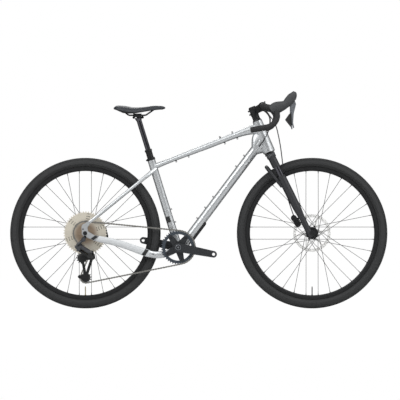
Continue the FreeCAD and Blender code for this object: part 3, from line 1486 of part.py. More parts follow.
under_bar = bar_at + Vector(5, 0, -size("grip_radius") - size("tape_thickness") - hose_radius + 0.6)
rear_loop = hose([
    under_bar + Vector(0, -112, 0), under_bar + Vector(30, -104, -20), under_bar + Vector(32, -80, -70),
    under_bar + Vector(14, -52, -128), port_mouth,
]).cut(NODES_BY_LABEL["bar_tape"].Shape)
rear_loop = max(rear_loop.Solids, key=lambda piece: piece.Volume)
feature("frame_hoses", Part.makeCompound([rear_loop, mirrored(rear_loop)]))
front_loop = hose([
    under_bar + Vector(4, 128, 0), under_bar + Vector(54, 122, -40), under_bar + Vector(80, 110, -150),
    front_axle + Vector(-140, 98, 340), front_axle + Vector(-130, 98, 220),
    front_axle + Vector(-108, 84, 144),
    front_axle + Vector(-94, 58, 101), front_axle + Vector(-88, 44, 85),
]).cut([NODES_BY_LABEL["front_caliper"].Shape, NODES_BY_LABEL["bar_tape"].Shape])
feature("front_brake_hose", max(front_loop.Solids, key=lambda piece: piece.Volume))


def guards():
    """A rubber strip under the down tube and a sleeve round the right chainstay."""
    along = (down_tube_head - down_tube_bb).normalize()
    below = Vector(along.z, 0, -along.x)
    low = down_tube_bb + along * 40 + below * (size("down_tube_height") - 6)
    strip = blend([(low, 8, 15), (low + along * 45, 8, 18), (low + along * 92, 7, 14)])
    frame_shape = NODES_BY_LABEL["frame"].Shape
    ends = Part.makeBox(258, 90, 150, Vector(-258, -100, -75), Vector(0, 0, 1))
    ends.Placement = Placement(bb + Vector(-136, 0, -22), Rotation(Vector(0, 1, 0), 15))
    sleeve = blend(chainstay_line(1.2)).common(ends)
    return feature("frame_guards", Part.makeCompound([
        max(strip.cut(frame_shape).Solids, key=lambda piece: piece.Volume),
        max(sleeve.cut(frame_shape).Solids, key=lambda piece: piece.Volume),
    ]))


guards()


# Every sub-part is checked before any file is written

doc.recompute()
for thing in doc.Objects:
    if "Invalid" in thing.State or "Error" in thing.State:
        raise ValueError(f"{thing.Label} did not build: {thing.State}")
for node in NODES:
    if node.Shape.isNull() or not node.Shape.isValid():
        raise ValueError(f"{node.Label} has no valid solid")
os.makedirs("parts", exist_ok=True)
for node in NODES:
    node.Shape.exportStep(f"parts/{node.Label}.step")
print(len(NODES), "sub-parts written")
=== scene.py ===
"""A gravel bicycle in a plain studio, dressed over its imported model."""

import json
import logging
import math
from collections.abc import Callable, Sequence
from dataclasses import dataclass
from enum import Enum

import bmesh
import bpy
from bpy.types import Material, Mesh, Node, NodeSocket, NodeTree, Object
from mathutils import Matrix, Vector


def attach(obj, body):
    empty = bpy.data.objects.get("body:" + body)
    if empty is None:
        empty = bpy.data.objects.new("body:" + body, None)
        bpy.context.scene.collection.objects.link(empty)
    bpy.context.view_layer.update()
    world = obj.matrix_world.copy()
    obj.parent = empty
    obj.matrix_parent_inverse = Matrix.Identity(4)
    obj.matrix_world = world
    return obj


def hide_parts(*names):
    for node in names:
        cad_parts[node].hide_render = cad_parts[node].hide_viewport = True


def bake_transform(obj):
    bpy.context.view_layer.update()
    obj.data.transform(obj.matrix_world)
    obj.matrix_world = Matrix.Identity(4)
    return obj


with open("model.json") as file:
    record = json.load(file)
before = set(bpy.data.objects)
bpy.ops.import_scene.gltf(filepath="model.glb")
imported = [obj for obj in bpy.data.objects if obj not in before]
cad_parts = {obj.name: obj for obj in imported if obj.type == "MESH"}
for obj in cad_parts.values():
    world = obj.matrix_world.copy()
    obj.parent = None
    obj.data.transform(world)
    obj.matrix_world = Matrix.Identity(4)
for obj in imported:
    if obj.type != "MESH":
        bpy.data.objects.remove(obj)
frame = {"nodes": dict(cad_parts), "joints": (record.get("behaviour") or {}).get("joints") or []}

LOG = logging.getLogger("gravel_bike")
MM = 0.001
FULL_TURN = 2 * math.pi
ACROSS = Vector((0.0, 1.0, 0.0))
# The corners of a square, in order round it
SQUARE = ((-1, -1), (1, -1), (1, 1), (-1, 1))
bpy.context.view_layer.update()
# How far from the centre plane rays from the drive side start, in metres
RAY_START = 0.3

Point = tuple[float, float, float]
Pair = tuple[float, float]
# What a shader's input takes: a link or a plain value
Source = NodeSocket | Sequence[float] | float


class Side(Enum):
    """The rider's two sides, as the sign of Y."""

    RIGHT = -1
    LEFT = 1


class End(Enum):
    """The two wheels, named as their nodes are."""

    FRONT = "front"
    REAR = "rear"


class Run(Enum):
    """The stretches of the chain, named by what carries them."""

    RING = "ring"
    LOWER = "lower"
    CAGE = "cage"
    FEED = "feed"


def linear(code: str) -> tuple[float, float, float, float]:
    """Turn an sRGB hex colour into the linear values that shaders take.

    Args:
        code: Six hex digits after a hash sign.

    Returns:
        Red, green, blue and an alpha of one.
    """
    shares = [int(code[place:place + 2], 16) / 255 for place in (1, 3, 5)]
    values = [s / 12.92 if s <= 0.04045 else ((s + 0.055) / 1.055) ** 2.4 for s in shares]
    return values[0], values[1], values[2], 1.0


@dataclass(frozen=True)
class Graph:
    """The node tree of a material or of the world."""

    tree: NodeTree

    def feed(self, node: Node, values: dict) -> None:
        """Set or link what goes into a node.

        Args:
            node: The node.
            values: Plain values by attribute or input, and sockets to link by input.
        """
        for key, value in values.items():
            if isinstance(value, NodeSocket):
                self.tree.links.new(value, node.inputs[key])
            elif isinstance(key, str) and hasattr(node, key):
                setattr(node, key, value)
            else:
                node.inputs[key].default_value = value

    def add(self, kind: str, values: dict | None = None) -> Node:
        """Add one node.

        Args:
            kind: The node's type, without the start that all types share.
            values: What goes into it.

        Returns:
            The new node.
        """
        node = self.tree.nodes.new(f"ShaderNode{kind}")
        self.feed(node, values or {})
        return node

    def ramp(self, value: NodeSocket, span: Pair, ends: Pair) -> NodeSocket:
        """A smooth step.

        Args:
            value: The value that it follows.
            span: Where it starts and ends.
            ends: What it gives there.

        Returns:
            The step's socket.
        """
        return self.add("MapRange", {
            "interpolation_type": "SMOOTHSTEP", "Value": value, "From Min": span[0], "From Max": span[1],
            "To Min": ends[0], "To Max": ends[1]}).outputs[0]

    def calc(self, operation: str, first: Source, second: Source = 0.0) -> NodeSocket:
        """One step of arithmetic."""
        return self.add("Math", {"operation": operation, 0: first, 1: second}).outputs[0]

    def mix(self, share: NodeSocket, first: Source, second: Source) -> NodeSocket:
        """Two colours, mixed by a share from 0 to 1."""
        return self.add("Mix", {"data_type": "RGBA", 0: share, 6: first, 7: second}).outputs[2]

    def from_axle(self, place: NodeSocket, axle: Point) -> NodeSocket:
        """Coordinates seen from a point of an axle, flattened along the axle."""
        moved = self.add("VectorMath", {"operation": "SUBTRACT", 0: place, 1: axle}).outputs[0]
        return self.add("VectorMath", {"operation": "MULTIPLY", 0: moved, 1: (1.0, 0.0, 1.0)}).outputs[0]

    def distance(self, place: NodeSocket, axle: Point) -> NodeSocket:
        """The distance from an axle."""
        flat = self.from_axle(place, axle)
        return self.add("VectorMath", {"operation": "LENGTH", 0: flat}).outputs["Value"]


@dataclass(frozen=True)
class Finish:
    """A surface: what it is, how it was made, and how it meets the light.

    The plain finish has a fine even grain, as blasted, cast and moulded surfaces have.
    """

    name: str
    colour: str
    roughness: float
    metallic: float = 0.0
    coat: float = 0.0
    coat_roughness: float = 0.04
    ior: float = 1.5
    grain_mm: float = 1.5
    depth_mm: float = 0.02
    shade: float = 0.12

    # From this share of metal on, the refraction index stays at its default
    metal_from = 0.5
    # How far the grain moves the roughness, as a share of it, and how strongly it lifts the surface
    rough_spread = 0.12
    bump_strength = 0.6

    def material(self) -> Material:
        """Build the material once.

        Returns:
            The material, shared by every piece with this finish.
        """
        found = bpy.data.materials.get(self.name)
        if found:
            return found
        made = bpy.data.materials.new(self.name)
        made.use_nodes = True
        graph = Graph(made.node_tree)
        shader = made.node_tree.nodes["Principled BSDF"]
        place = graph.add("TexCoord").outputs["Object"]
        grain = self.grain(graph, place)
        rough = graph.add("MapRange", {
            "Value": grain, "To Min": self.roughness * (1 - self.rough_spread),
            "To Max": min(1.0, self.roughness * (1 + self.rough_spread))})
        bump = graph.add("Bump", {
            "Strength": self.bump_strength, "Distance": self.depth_mm * MM, "Height": grain})
        graph.feed(shader, {
            "Base Color": self.tint(graph, place, grain), "Metallic": self.metallic,
            "Roughness": rough.outputs[0], "Normal": bump.outputs[0], "Coat Weight": self.coat,
            "Coat Roughness": self.coat_roughness})
        if self.metallic < self.metal_from:
            shader.inputs["IOR"].default_value = self.ior
        return made

    @property
    def scale(self) -> float:
        """The scale that gives a pattern its grain."""
        return 1000 / self.grain_mm

    def grain(self, graph: Graph, place: NodeSocket) -> NodeSocket:
        """The pattern that shades the colour and lifts the surface, from 0 to 1."""
        return graph.add("TexNoise", {"Vector": place, "Scale": self.scale, "Detail": 3.0}).outputs[0]

    def tint(self, graph: Graph, place: NodeSocket, grain: NodeSocket) -> NodeSocket:
        """The colour, a little darker and lighter with the grain."""
        base = linear(self.colour)[:3]
        dark, light = ([min(1.0, part * level) for part in base] + [1.0]
                       for level in (1 - self.shade, 1 + self.shade))
        return graph.mix(grain, dark, light)


@dataclass(frozen=True)
class FlakeLacquer(Finish):
    """Metallic lacquer: small flakes at many tilts under a clear coat."""

    def grain(self, graph: Graph, place: NodeSocket) -> NodeSocket:
        """Cells with a shade each; real flakes of 0.1 mm are drawn as coarse as shows."""
        cells = graph.add("TexVoronoi", {"Vector": place, "Scale": self.scale})
        return graph.add("SeparateColor", {0: cells.outputs["Color"]}).outputs[0]


@dataclass(frozen=True)
class Leather(Finish):
    """Embossed synthetic leather: rounded pebbles with creases between them."""

    # Distance from a crease, in cells, at which a pebble is at its full height
    crease = 0.25

    def grain(self, graph: Graph, place: NodeSocket) -> NodeSocket:
        """The height of the pebbles."""
        cells = graph.add("TexVoronoi", {"feature": "DISTANCE_TO_EDGE", "Vector": place, "Scale": self.scale})
        return graph.add("MapRange", {"Value": cells.outputs[0], "From Max": self.crease}).outputs[0]


@dataclass(frozen=True)
class Turned(Finish):
    """Metal with fine rings round an axle, as turned, ground and stamped discs have."""

    axle: Point = (0.0, 0.0, 0.0)

    # Divides the scale, which makes each ring about twice as wide as the grain
    wave_scale = 6.28

    def grain(self, graph: Graph, place: NodeSocket) -> NodeSocket:
        """Rings by distance from the axle, broken up by noise."""
        return graph.add("TexWave", {
            "wave_type": "RINGS", "rings_direction": "Y", "Vector": graph.from_axle(place, self.axle),
            "Scale": self.scale / self.wave_scale, "Distortion": 1.5, "Detail": 2.0}).outputs[1]


@dataclass(frozen=True)
class Sprockets(Turned):
    """Plated sprockets, darkened to brown towards the axle by painted shade."""

    # The painted shade's colour, and the distances from the axle over which it fades out
    inner: str = "#A3907C"
    shade_span_mm: Pair = (35.0, 72.0)

    def tint(self, graph: Graph, place: NodeSocket, grain: NodeSocket) -> NodeSocket:
        """The ringed colour, mixed with the painted shade's colour by the distance from the axle."""
        near, far = self.shade_span_mm
        share = graph.ramp(graph.distance(place, self.axle), (near * MM, far * MM), (0.0, 1.0))
        return graph.mix(share, linear(self.inner), Finish.tint(self, graph, place, grain))


@dataclass(frozen=True)
class TyreRubber(Finish):
    """Moulded tyre: a dull casing with a dark line along the bead."""

    axle: Point = (0.0, 0.0, 0.0)
    bead_mm: float = 321.0
    line_mm: float = 3.0
    line_share: float = 0.45

    def tint(self, graph: Graph, place: NodeSocket, grain: NodeSocket) -> NodeSocket:
        """The grained colour, darker along the bead."""
        span = (self.bead_mm * MM, (self.bead_mm + self.line_mm) * MM)
        near = graph.ramp(graph.distance(place, self.axle), span, (self.line_share, 1.0))
        plain = Finish.tint(self, graph, place, grain)
        return graph.add("VectorMath", {"operation": "SCALE", 0: plain, 3: near}).outputs[0]


@dataclass(frozen=True)
class BandedGuard(Finish):
    """A clear film over the paint of the stay, and dark rubber on what lies ahead of it."""

    film: str = "#C3C6C8"
    front: Point = (-0.2342, 0.0, 0.271)
    slant_degrees: float = 15.0
    length_mm: float = 258.0

    def tint(self, graph: Graph, place: NodeSocket, grain: NodeSocket) -> NodeSocket:
        """Film between the two edges, and rubber outside them."""
        slant = math.radians(self.slant_degrees)
        half = self.length_mm / 2 * MM
        moved = graph.add("VectorMath", {"operation": "SUBTRACT", 0: place, 1: self.front}).outputs[0]
        way = (math.cos(slant), 0.0, -math.sin(slant))
        along = graph.add("VectorMath", {"operation": "DOT_PRODUCT", 0: moved, 1: way}).outputs["Value"]
        away = graph.calc("ABSOLUTE", graph.calc("ADD", along, half))
        between = graph.calc("LESS_THAN", away, half)
        return graph.mix(between, Finish.tint(self, graph, place, grain), linear(self.film))


def joint(name: str) -> dict:
    """The record's joint of that name."""
    return next(item for item in frame["joints"] if item["name"] == name)


REAR_AXLE = Vector(joint("rear_wheel_spin")["pos_m"])
FRONT_AXLE = Vector(joint("front_wheel_spin")["pos_m"])
CRANK_AXIS = Vector(joint("crank_spin")["pos_m"])
AXLES = {End.FRONT: FRONT_AXLE, End.REAR: REAR_AXLE}

# Gloss metallic lacquer on moulded carbon fibre: bright silver with flashing edges and greyer faces
SILVER = FlakeLacquer("silver_flake_lacquer_on_carbon", "#C0C3C5", 0.34, metallic=0.75, coat=0.6,
                      coat_roughness=0.18, grain_mm=0.5, depth_mm=0.0002, shade=0.03)
# Satin lacquer on cast magnesium: dark, with soft broad highlights
CHARCOAL = Finish("charcoal_satin_lacquer_on_magnesium", "#26272A", 0.46, ior=1.46, grain_mm=2.5,
                  depth_mm=0.01)
# Bead-blasted, anodised aluminium: black with a dull metal sheen
BLACK_ALLOY = Finish("black_blasted_anodised_aluminium", "#141517", 0.42, metallic=0.3, grain_mm=0.8,
                     depth_mm=0.01)
# Hard anodised and polished tube: black with sharp streaks of light
POLISHED_BLACK = Finish("black_polished_hard_anodised_aluminium", "#55555A", 0.12, metallic=1.0, grain_mm=3.0,
                        depth_mm=0.0005, shade=0.03)
# Forged aluminium under grey anodising: dark grey with long smooth highlights
GREY_FORGED = Finish("grey_anodised_forged_aluminium", "#2E3033", 0.34, metallic=0.35, grain_mm=1.2,
                     depth_mm=0.006)
# Machined aluminium under grey anodising: bluer and lighter than the arms beside it
RING_GREY = Finish("grey_anodised_machined_aluminium", "#434A52", 0.38, metallic=0.5, grain_mm=0.9,
                   depth_mm=0.008)
# Silver-grey anodising: a silky mid grey
LEVER_GREY = Finish("silver_grey_anodised_aluminium", "#7C8085", 0.3, metallic=0.6, grain_mm=1.0,
                    depth_mm=0.004)
# Clear anodising: bright and silvery
SILVER_ALLOY = Finish("silver_anodised_aluminium", "#B7B9BB", 0.33, metallic=0.9, grain_mm=0.8,
                      depth_mm=0.006)
# Forged aluminium under slate anodising: sets the links off from the black cage
LINK_GREY = Finish("slate_anodised_forged_aluminium", "#45474B", 0.32, metallic=0.45, grain_mm=1.0,
                   depth_mm=0.004)
# Black oxide on drawn steel: nearly black, faintly blue
OXIDE_STEEL = Finish("black_oxide_drawn_steel", "#232427", 0.4, metallic=0.5, grain_mm=0.6, depth_mm=0.004)
# Black oxide on bladed spokes: black thin lines with little glint
SPOKE_STEEL = Finish("black_oxide_bladed_steel", "#0C0C0D", 0.5, metallic=0.2, grain_mm=0.8, depth_mm=0.003)
# Plated rolled steel: grey links with worn bright patches
CHAIN_STEEL = Finish("nickel_plated_rolled_steel", "#8E8D89", 0.36, metallic=0.9, grain_mm=1.5, depth_mm=0.01,
                     shade=0.3)
# Drawn brass: one pale warm spot on the rear rim
BRASS = Finish("drawn_brass", "#B3A684", 0.35, metallic=0.8, grain_mm=1.0, depth_mm=0.004)
# Moulded rubber: matt, with a fine eggshell grain
HOOD_RUBBER = Finish("charcoal_moulded_rubber", "#333537", 0.66, ior=1.52, grain_mm=1.1,
                     depth_mm=0.06, shade=0.1)
# Seal rubber: blacker and duller than the hoods
SEAL_RUBBER = Finish("black_moulded_seal_rubber", "#18191A", 0.7, ior=1.52, grain_mm=1.0, depth_mm=0.04)
# Film and rubber guard: the stay keeps its silver, and black rubber ends it
GUARD = BandedGuard("clear_film_and_black_rubber_guard", "#1C1D1E", 0.4, coat=0.3, ior=1.5, grain_mm=1.2,
                    depth_mm=0.01)
# Foamed bar tape: dull, with a dense emboss of small dimples
TAPE = Leather("black_embossed_foam_tape", "#1E1F20", 0.72, ior=1.45, grain_mm=2.4,
               depth_mm=0.25, shade=0.25)
# Embossed synthetic leather: blue-black, with a wide soft sheen on the crown
SADDLE_SKIN = Leather("black_embossed_synthetic_leather", "#20242A", 0.5, ior=1.48, grain_mm=1.3,
                      depth_mm=0.02, shade=0.05)
# Glass-filled nylon: dull black with a faint fibre mottle
NYLON = Finish("black_moulded_glass_filled_nylon", "#161718", 0.55, ior=1.53, grain_mm=1.4, depth_mm=0.02)
# Extruded hose: smooth, with one thin line of light
HOSE_SKIN = Finish("black_extruded_polyamide_hose", "#141516", 0.38, ior=1.53, grain_mm=4.0, depth_mm=0.004)


def dress(finishes: dict[str, Finish]) -> None:
    """Give CAD nodes, which keep their shapes, the materials of their finishes.

    Args:
        finishes: Each node's finish, by the node's name.
    """
    for node, finish in finishes.items():
        materials = frame["nodes"][node].data.materials
        materials.clear()
        materials.append(finish.material())


def finished(name: str, parts: list[Mesh], finish: Finish, smooth: bool) -> Object:
    """Add one object from closed meshes, on no body yet.

    Args:
        name: The object's name.
        parts: Its meshes in the bicycle's frame, which are used up.
        finish: Its finish.
        smooth: Whether its faces are shaded as curved.

    Returns:
        The new object.
    """
    work = bmesh.new()
    for part in parts:
        work.from_mesh(part)
        bpy.data.meshes.remove(part)
    mesh = bpy.data.meshes.new(name)
    work.to_mesh(mesh)
    work.free()
    mesh.materials.append(finish.material())
    mesh.polygons.foreach_set("use_smooth", [smooth] * len(mesh.polygons))
    thing = bpy.data.objects.new(name, mesh)
    bpy.context.scene.collection.objects.link(thing)
    return thing


def piece(name: str, parts: list[Mesh], finish: Finish, body: str, smooth: bool = True) -> Object:
    """Add one object from closed meshes that rides on a body.

    Args:
        name: The piece's name.
        parts: Its meshes in the bicycle's frame, which are used up.
        finish: Its finish.
        body: The body that it moves with.
        smooth: Whether its faces are shaded as curved.

    Returns:
        The new object.
    """
    thing = finished(name, parts, finish, smooth)
    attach(thing, body)
    LOG.info("%s rides on %s", name, body)
    return thing


def mm(x: float, y: float, z: float) -> Vector:
    """A point or a step in metres, from millimetres."""
    return Vector((x, y, z)) * MM


def radial(angle: float) -> Vector:
    """The way out from an axle at an angle, in side view."""
    return Vector((math.cos(angle), 0.0, math.sin(angle)))


def mesh_of(vertices: list[Vector], faces: list[tuple[int, ...]]) -> Mesh:
    """A mesh from its points and faces."""
    mesh = bpy.data.meshes.new("part")
    mesh.from_pydata(vertices, [], faces)
    mesh.update()
    return mesh


def skin(rings: list[list[Vector]], closed: bool = False) -> Mesh:
    """A closed mesh through rings of equal numbers of points, with its faces turned outward.

    Args:
        rings: The rings, in order.
        closed: Whether the last ring joins the first; otherwise both ends are capped.

    Returns:
        The mesh.
    """
    count = len(rings[0])
    vertices = [point for ring in rings for point in ring]
    faces = []
    for index in range(len(rings) if closed else len(rings) - 1):
        low = index * count
        high = (index + 1) % len(rings) * count
        for place in range(count):
            after = (place + 1) % count
            faces.append((low + place, low + after, high + after, high + place))
    if not closed:
        faces.append(tuple(reversed(range(count))))
        faces.append(tuple(range(len(vertices) - count, len(vertices))))
    mesh = mesh_of(vertices, faces)
    work = bmesh.new()
    work.from_mesh(mesh)
    bmesh.ops.recalc_face_normals(work, faces=work.faces)
    work.to_mesh(mesh)
    work.free()
    return mesh


def circle(foot: Vector, axis: Vector, height: float, radii: list[float]) -> list[Vector]:
    """Points round an axis, at even steps.

    Args:
        foot: The axis's foot, in metres.
        axis: The way that height runs.
        height: How far up the axis they lie, in millimetres.
        radii: Their distances from it, in millimetres.

    Returns:
        The points, in metres.
    """
    turn = Vector((0, 0, 1)).rotation_difference(axis.normalized()).to_matrix()
    points = []
    for step, radius in enumerate(radii):
        angle = FULL_TURN * step / len(radii)
        points.append(foot + turn @ Vector((radius * math.cos(angle), radius * math.sin(angle), height)) * MM)
    return points


def lathe(profile: Sequence[Pair], foot: Vector, axis: Vector, sides: int = 48, closed: bool = False) -> Mesh:
    """A turned closed mesh.

    Args:
        profile: Radius and height pairs in millimetres, from the foot up or round a ring's section.
        foot: The axis's foot, in metres.
        axis: The way that height runs.
        sides: How many steps make the circle.
        closed: Whether the profile closes on itself, which makes a ring.

    Returns:
        The mesh.
    """
    return skin([circle(foot, axis, height, [radius] * sides) for radius, height in profile], closed)


def tube(line: list[Vector], sides: int, radius: Callable[[float, float], float]) -> Mesh:
    """A closed tube, with rings that are carried along its line without twist.

    Args:
        line: The points of its axis, in metres.
        sides: How many points make a ring.
        radius: Gives the radius for a distance along the line and a share of a turn round it.

    Returns:
        The mesh.
    """
    rings = []
    run = 0.0
    side = (line[1] - line[0]).normalized().orthogonal().normalized()
    for index, point in enumerate(line):
        before = line[max(index - 1, 0)]
        ahead = (line[min(index + 1, len(line) - 1)] - before).normalized()
        side = (side - ahead * side.dot(ahead)).normalized()
        other = ahead.cross(side)
        run += (point - before).length
        ring = []
        for turn in (step / sides for step in range(sides)):
            out = side * math.cos(FULL_TURN * turn) + other * math.sin(FULL_TURN * turn)
            ring.append(point + out * radius(run, turn))
        rings.append(ring)
    return skin(rings)


def drive_side(place: Vector) -> Vector | None:
    """Where a ray from the drive side first meets the frame or its guards.

    Args:
        place: Where the ray would cross the centre plane, in metres.

    Returns:
        The nearest point, or nothing if the ray misses them both.
    """
    start = place - ACROSS * RAY_START
    found = []
    for name in ("frame", "frame_guards"):
        thing = frame["nodes"][name]
        into = thing.matrix_world.inverted()
        hit, point, _, _ = thing.ray_cast(into @ start, into.to_3x3() @ ACROSS)
        if hit:
            found.append(thing.matrix_world @ point)
    return min(found, key=lambda point: (point - start).length) if found else None


@dataclass(frozen=True)
class SocketScrew:
    """A screw head with a six-sided socket, all in millimetres."""

    radius: float
    height: float
    socket: float
    sides: int = 24

    # Shares of the radius and the height, from the foot over the rim
    head = ((1.0, 0.0), (1.0, 0.75), (0.85, 1.0))
    # Shares of the socket's size and the height, from its mouth down
    mouth = ((1.05, 1.0), (1.0, 0.95), (1.0, 0.35))

    def part(self, foot: Vector, facing: Vector) -> Mesh:
        """One head.

        Args:
            foot: Where it stands, in metres.
            facing: The way that it faces.

        Returns:
            Its mesh.
        """
        sixth, half = math.pi / 3, math.pi / 6
        flats = [math.cos(half) / math.cos(FULL_TURN * step / self.sides % sixth - half)
                 for step in range(self.sides)]
        rings = [circle(foot, facing, up * self.height, [out * self.radius] * self.sides)
                 for out, up in self.head]
        rings += [circle(foot, facing, up * self.height, [out * self.socket * flat for flat in flats])
                  for out, up in self.mouth]
        return skin(rings)

    def set_at(self, name: str, places: list[tuple[Vector, Vector]], body: str) -> None:
        """Put one head at each place, as one piece.

        Args:
            name: The piece's name.
            places: Each head's foot and the way that it faces.
            body: The body that they move with.
        """
        parts = [self.part(foot, facing) for foot, facing in places]
        piece(name, parts, OXIDE_STEEL, body, smooth=False)


@dataclass
class Wheel:
    """One wheel's tread, nipples and finishes, with sizes in millimetres."""

    end: End
    left_flange: float = 30.0
    right_flange: float = 30.0
    rotor_plane: float = 44.0
    tyre_radius: float = 361.0
    crown: float = 27.0
    rim_radius: float = 298.0
    rim_hole: float = 2.5
    flange_radius: float = 30.6
    spoke_count: int = 32
    cross_degrees: float = 67.5
    blocks_round: int = 230
    block_sink: float = 1.2
    block_taper: float = 0.8
    lockring_lift: float = 0.8
    lockring_sides: int = 72
    spline_depth: float = 0.7

    # Offset from the middle, length, width, phase and height of the blocks in each row
    rows = ((0.0, 5.0, 4.0, 0.0, 0.5), (5.2, 5.0, 3.6, 0.5, 0.5), (10.4, 5.2, 4.0, 0.0, 0.7),
            (15.4, 6.0, 3.8, 0.5, 1.2), (20.0, 6.4, 3.4, 0.0, 1.4))
    # A block's faces by corner
    block_faces = ((3, 2, 1, 0), (4, 5, 6, 7), (0, 1, 5, 4), (1, 2, 6, 5), (2, 3, 7, 6), (3, 0, 4, 7))
    # Radius and height along a nipple, and round the section of the disc's lockring
    nipple = ((2.4, -1), (2.4, 2), (1.7, 3), (1.7, 10), (1.2, 11))
    lockring_section = ((14.0, 0), (20.0, 0), (20.0, 1.6), (18.6, 2.4), (14.0, 2.4))

    @property
    def body(self) -> str:
        """The body that the wheel is."""
        return f"{self.end.value}_wheel"

    @property
    def axle(self) -> Vector:
        """The middle of the axle, in metres."""
        return AXLES[self.end]

    def dress(self) -> None:
        """Finish the wheel's CAD nodes and add its small parts."""
        end = self.end.value
        axle = tuple(self.axle)
        # Moulded tread rubber: charcoal, dull, with fine mould grain
        rubber = TyreRubber(f"{end}_tyre_moulded_rubber", "#242526", 0.78, ior=1.52, grain_mm=2.2,
                            depth_mm=0.12, shade=0.14, axle=axle)
        # Stainless discs are ground, so fine rings follow the rim; their near-white colour, lighter than bare
        # steel, is a painted reflection of the white studio
        disc = Turned(f"{end}_ground_stainless_steel", "#F2F2F0", 0.45, metallic=0.35, grain_mm=0.8,
                      depth_mm=0.001, shade=0.05, axle=axle)
        valve = BRASS if self.end is End.REAR else BLACK_ALLOY
        dress({f"{end}_tyre": rubber, f"{end}_rim": BLACK_ALLOY, f"{end}_valve": valve,
               f"{end}_spokes": SPOKE_STEEL, f"{end}_rotor": disc, f"{end}_hub": BLACK_ALLOY})
        self.tread(rubber)
        self.nipples()
        self.lockring()

    def tread(self, rubber: Finish) -> None:
        """Rows of low blocks, close and small at the crown and larger on the shoulders."""
        vertices: list[Vector] = []
        for offset, along, wide, phase, height in self.rows:
            for aside in ((offset, -offset) if offset else (offset,)):
                for step in range(self.blocks_round):
                    angle = FULL_TURN * (step + phase) / self.blocks_round
                    vertices += self.block(angle, aside, along, wide, height)
        faces = [tuple(first + corner for corner in face)
                 for first in range(0, len(vertices), 8) for face in self.block_faces]
        piece(f"{self.end.value}_tread_blocks", [mesh_of(vertices, faces)], rubber, self.body,
              smooth=False)

    def block(self, angle: float, offset: float, along: float, wide: float, height: float) -> list[Vector]:
        """The corners of one block that stands on the casing.

        Args:
            angle: Where it is round the wheel.
            offset: Where it is across the tread.
            along: Its length round the wheel.
            wide: Its width across the tread.
            height: How far it stands out.

        Returns:
            Four corners inside the casing, then the four of its face.
        """
        lean = math.asin(offset / self.crown)
        reach = self.tyre_radius - self.crown + self.crown * math.cos(lean)
        out = radial(angle)
        around = Vector((-math.sin(angle), 0, math.cos(angle)))
        normal = out * math.cos(lean) + ACROSS * math.sin(lean)
        aside = ACROSS * math.cos(lean) - out * math.sin(lean)
        middle = self.axle + out * (reach * MM) + ACROSS * (offset * MM)
        corners = []
        for level, share in ((-self.block_sink, 1.0), (height, self.block_taper)):
            for turn, side in SQUARE:
                step = around * (turn * along * share / 2) + aside * (side * wide * share / 2)
                corners.append(middle + (normal * level + step) * MM)
        return corners

    def nipples(self) -> None:
        """A turned nipple where each spoke meets the rim."""
        parts = []
        for index in range(self.spoke_count):
            left = index % 2 == 0
            trailing = index // 2 % 2 == 0
            rim = math.radians((index + 0.5) * 360 / self.spoke_count + 90)
            hub = rim + math.radians(self.cross_degrees if trailing else -self.cross_degrees)
            flange = self.left_flange if left else -self.right_flange
            start = radial(hub) * self.flange_radius + ACROSS * flange
            bed = radial(rim) * self.rim_radius + ACROSS * (self.rim_hole if left else -self.rim_hole)
            parts.append(lathe(self.nipple, self.axle + bed * MM, start - bed, sides=10))
        piece(f"{self.end.value}_nipples", parts, BLACK_ALLOY, self.body)

    def lockring(self) -> None:
        """The ring that holds the disc on its hub, splined inside."""
        foot = self.axle + ACROSS * ((self.rotor_plane + self.lockring_lift) * MM)
        bore = self.lockring_section[0][0]
        rings = []
        for radius, height in self.lockring_section:
            cut = self.spline_depth if radius == bore else 0.0
            radii = [radius - (cut if step % 4 < 2 else 0.0) for step in range(self.lockring_sides)]
            rings.append(circle(foot, ACROSS, height, radii))
        piece(f"{self.end.value}_disc_lockring", [skin(rings, closed=True)], BLACK_ALLOY, self.body,
              smooth=False)


@dataclass(frozen=True)
class Hose:
    """A brake hose or cable housing between two fittings, in metres."""

    name: str
    node: str
    near_body: str
    far_body: str
    route: tuple[Point, ...]
    diameter: float = 0.005
    sides: int = 14

    def line(self) -> list[Vector]:
        """The axis: points close together on a spline that the route's points control.

        Returns:
            The points.
        """
        curve = bpy.data.curves.new(self.name, "CURVE")
        curve.dimensions = "3D"
        curve.resolution_u = 10
        spline = curve.splines.new("NURBS")
        spline.points.add(len(self.route) - 1)
        for control, point in zip(spline.points, self.route):
            control.co = (*point, 1.0)
        spline.order_u = 3
        spline.use_endpoint_u = True
        holder = bpy.data.objects.new(self.name, curve)
        bpy.context.scene.collection.objects.link(holder)
        bpy.context.view_layer.update()
        drawn = bpy.data.meshes.new_from_object(holder.evaluated_get(bpy.context.evaluated_depsgraph_get()))
        line = [vertex.co.copy() for vertex in drawn.vertices]
        bpy.data.objects.remove(holder)
        bpy.data.curves.remove(curve)
        bpy.data.meshes.remove(drawn)
        return line

    def build(self) -> None:
        line = self.line()
        part = tube(line, self.sides, lambda run, turn: self.diameter / 2)
        thing = finished(self.name, [part], HOSE_SKIN, smooth=True)
        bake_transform(thing)
        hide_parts(self.node)


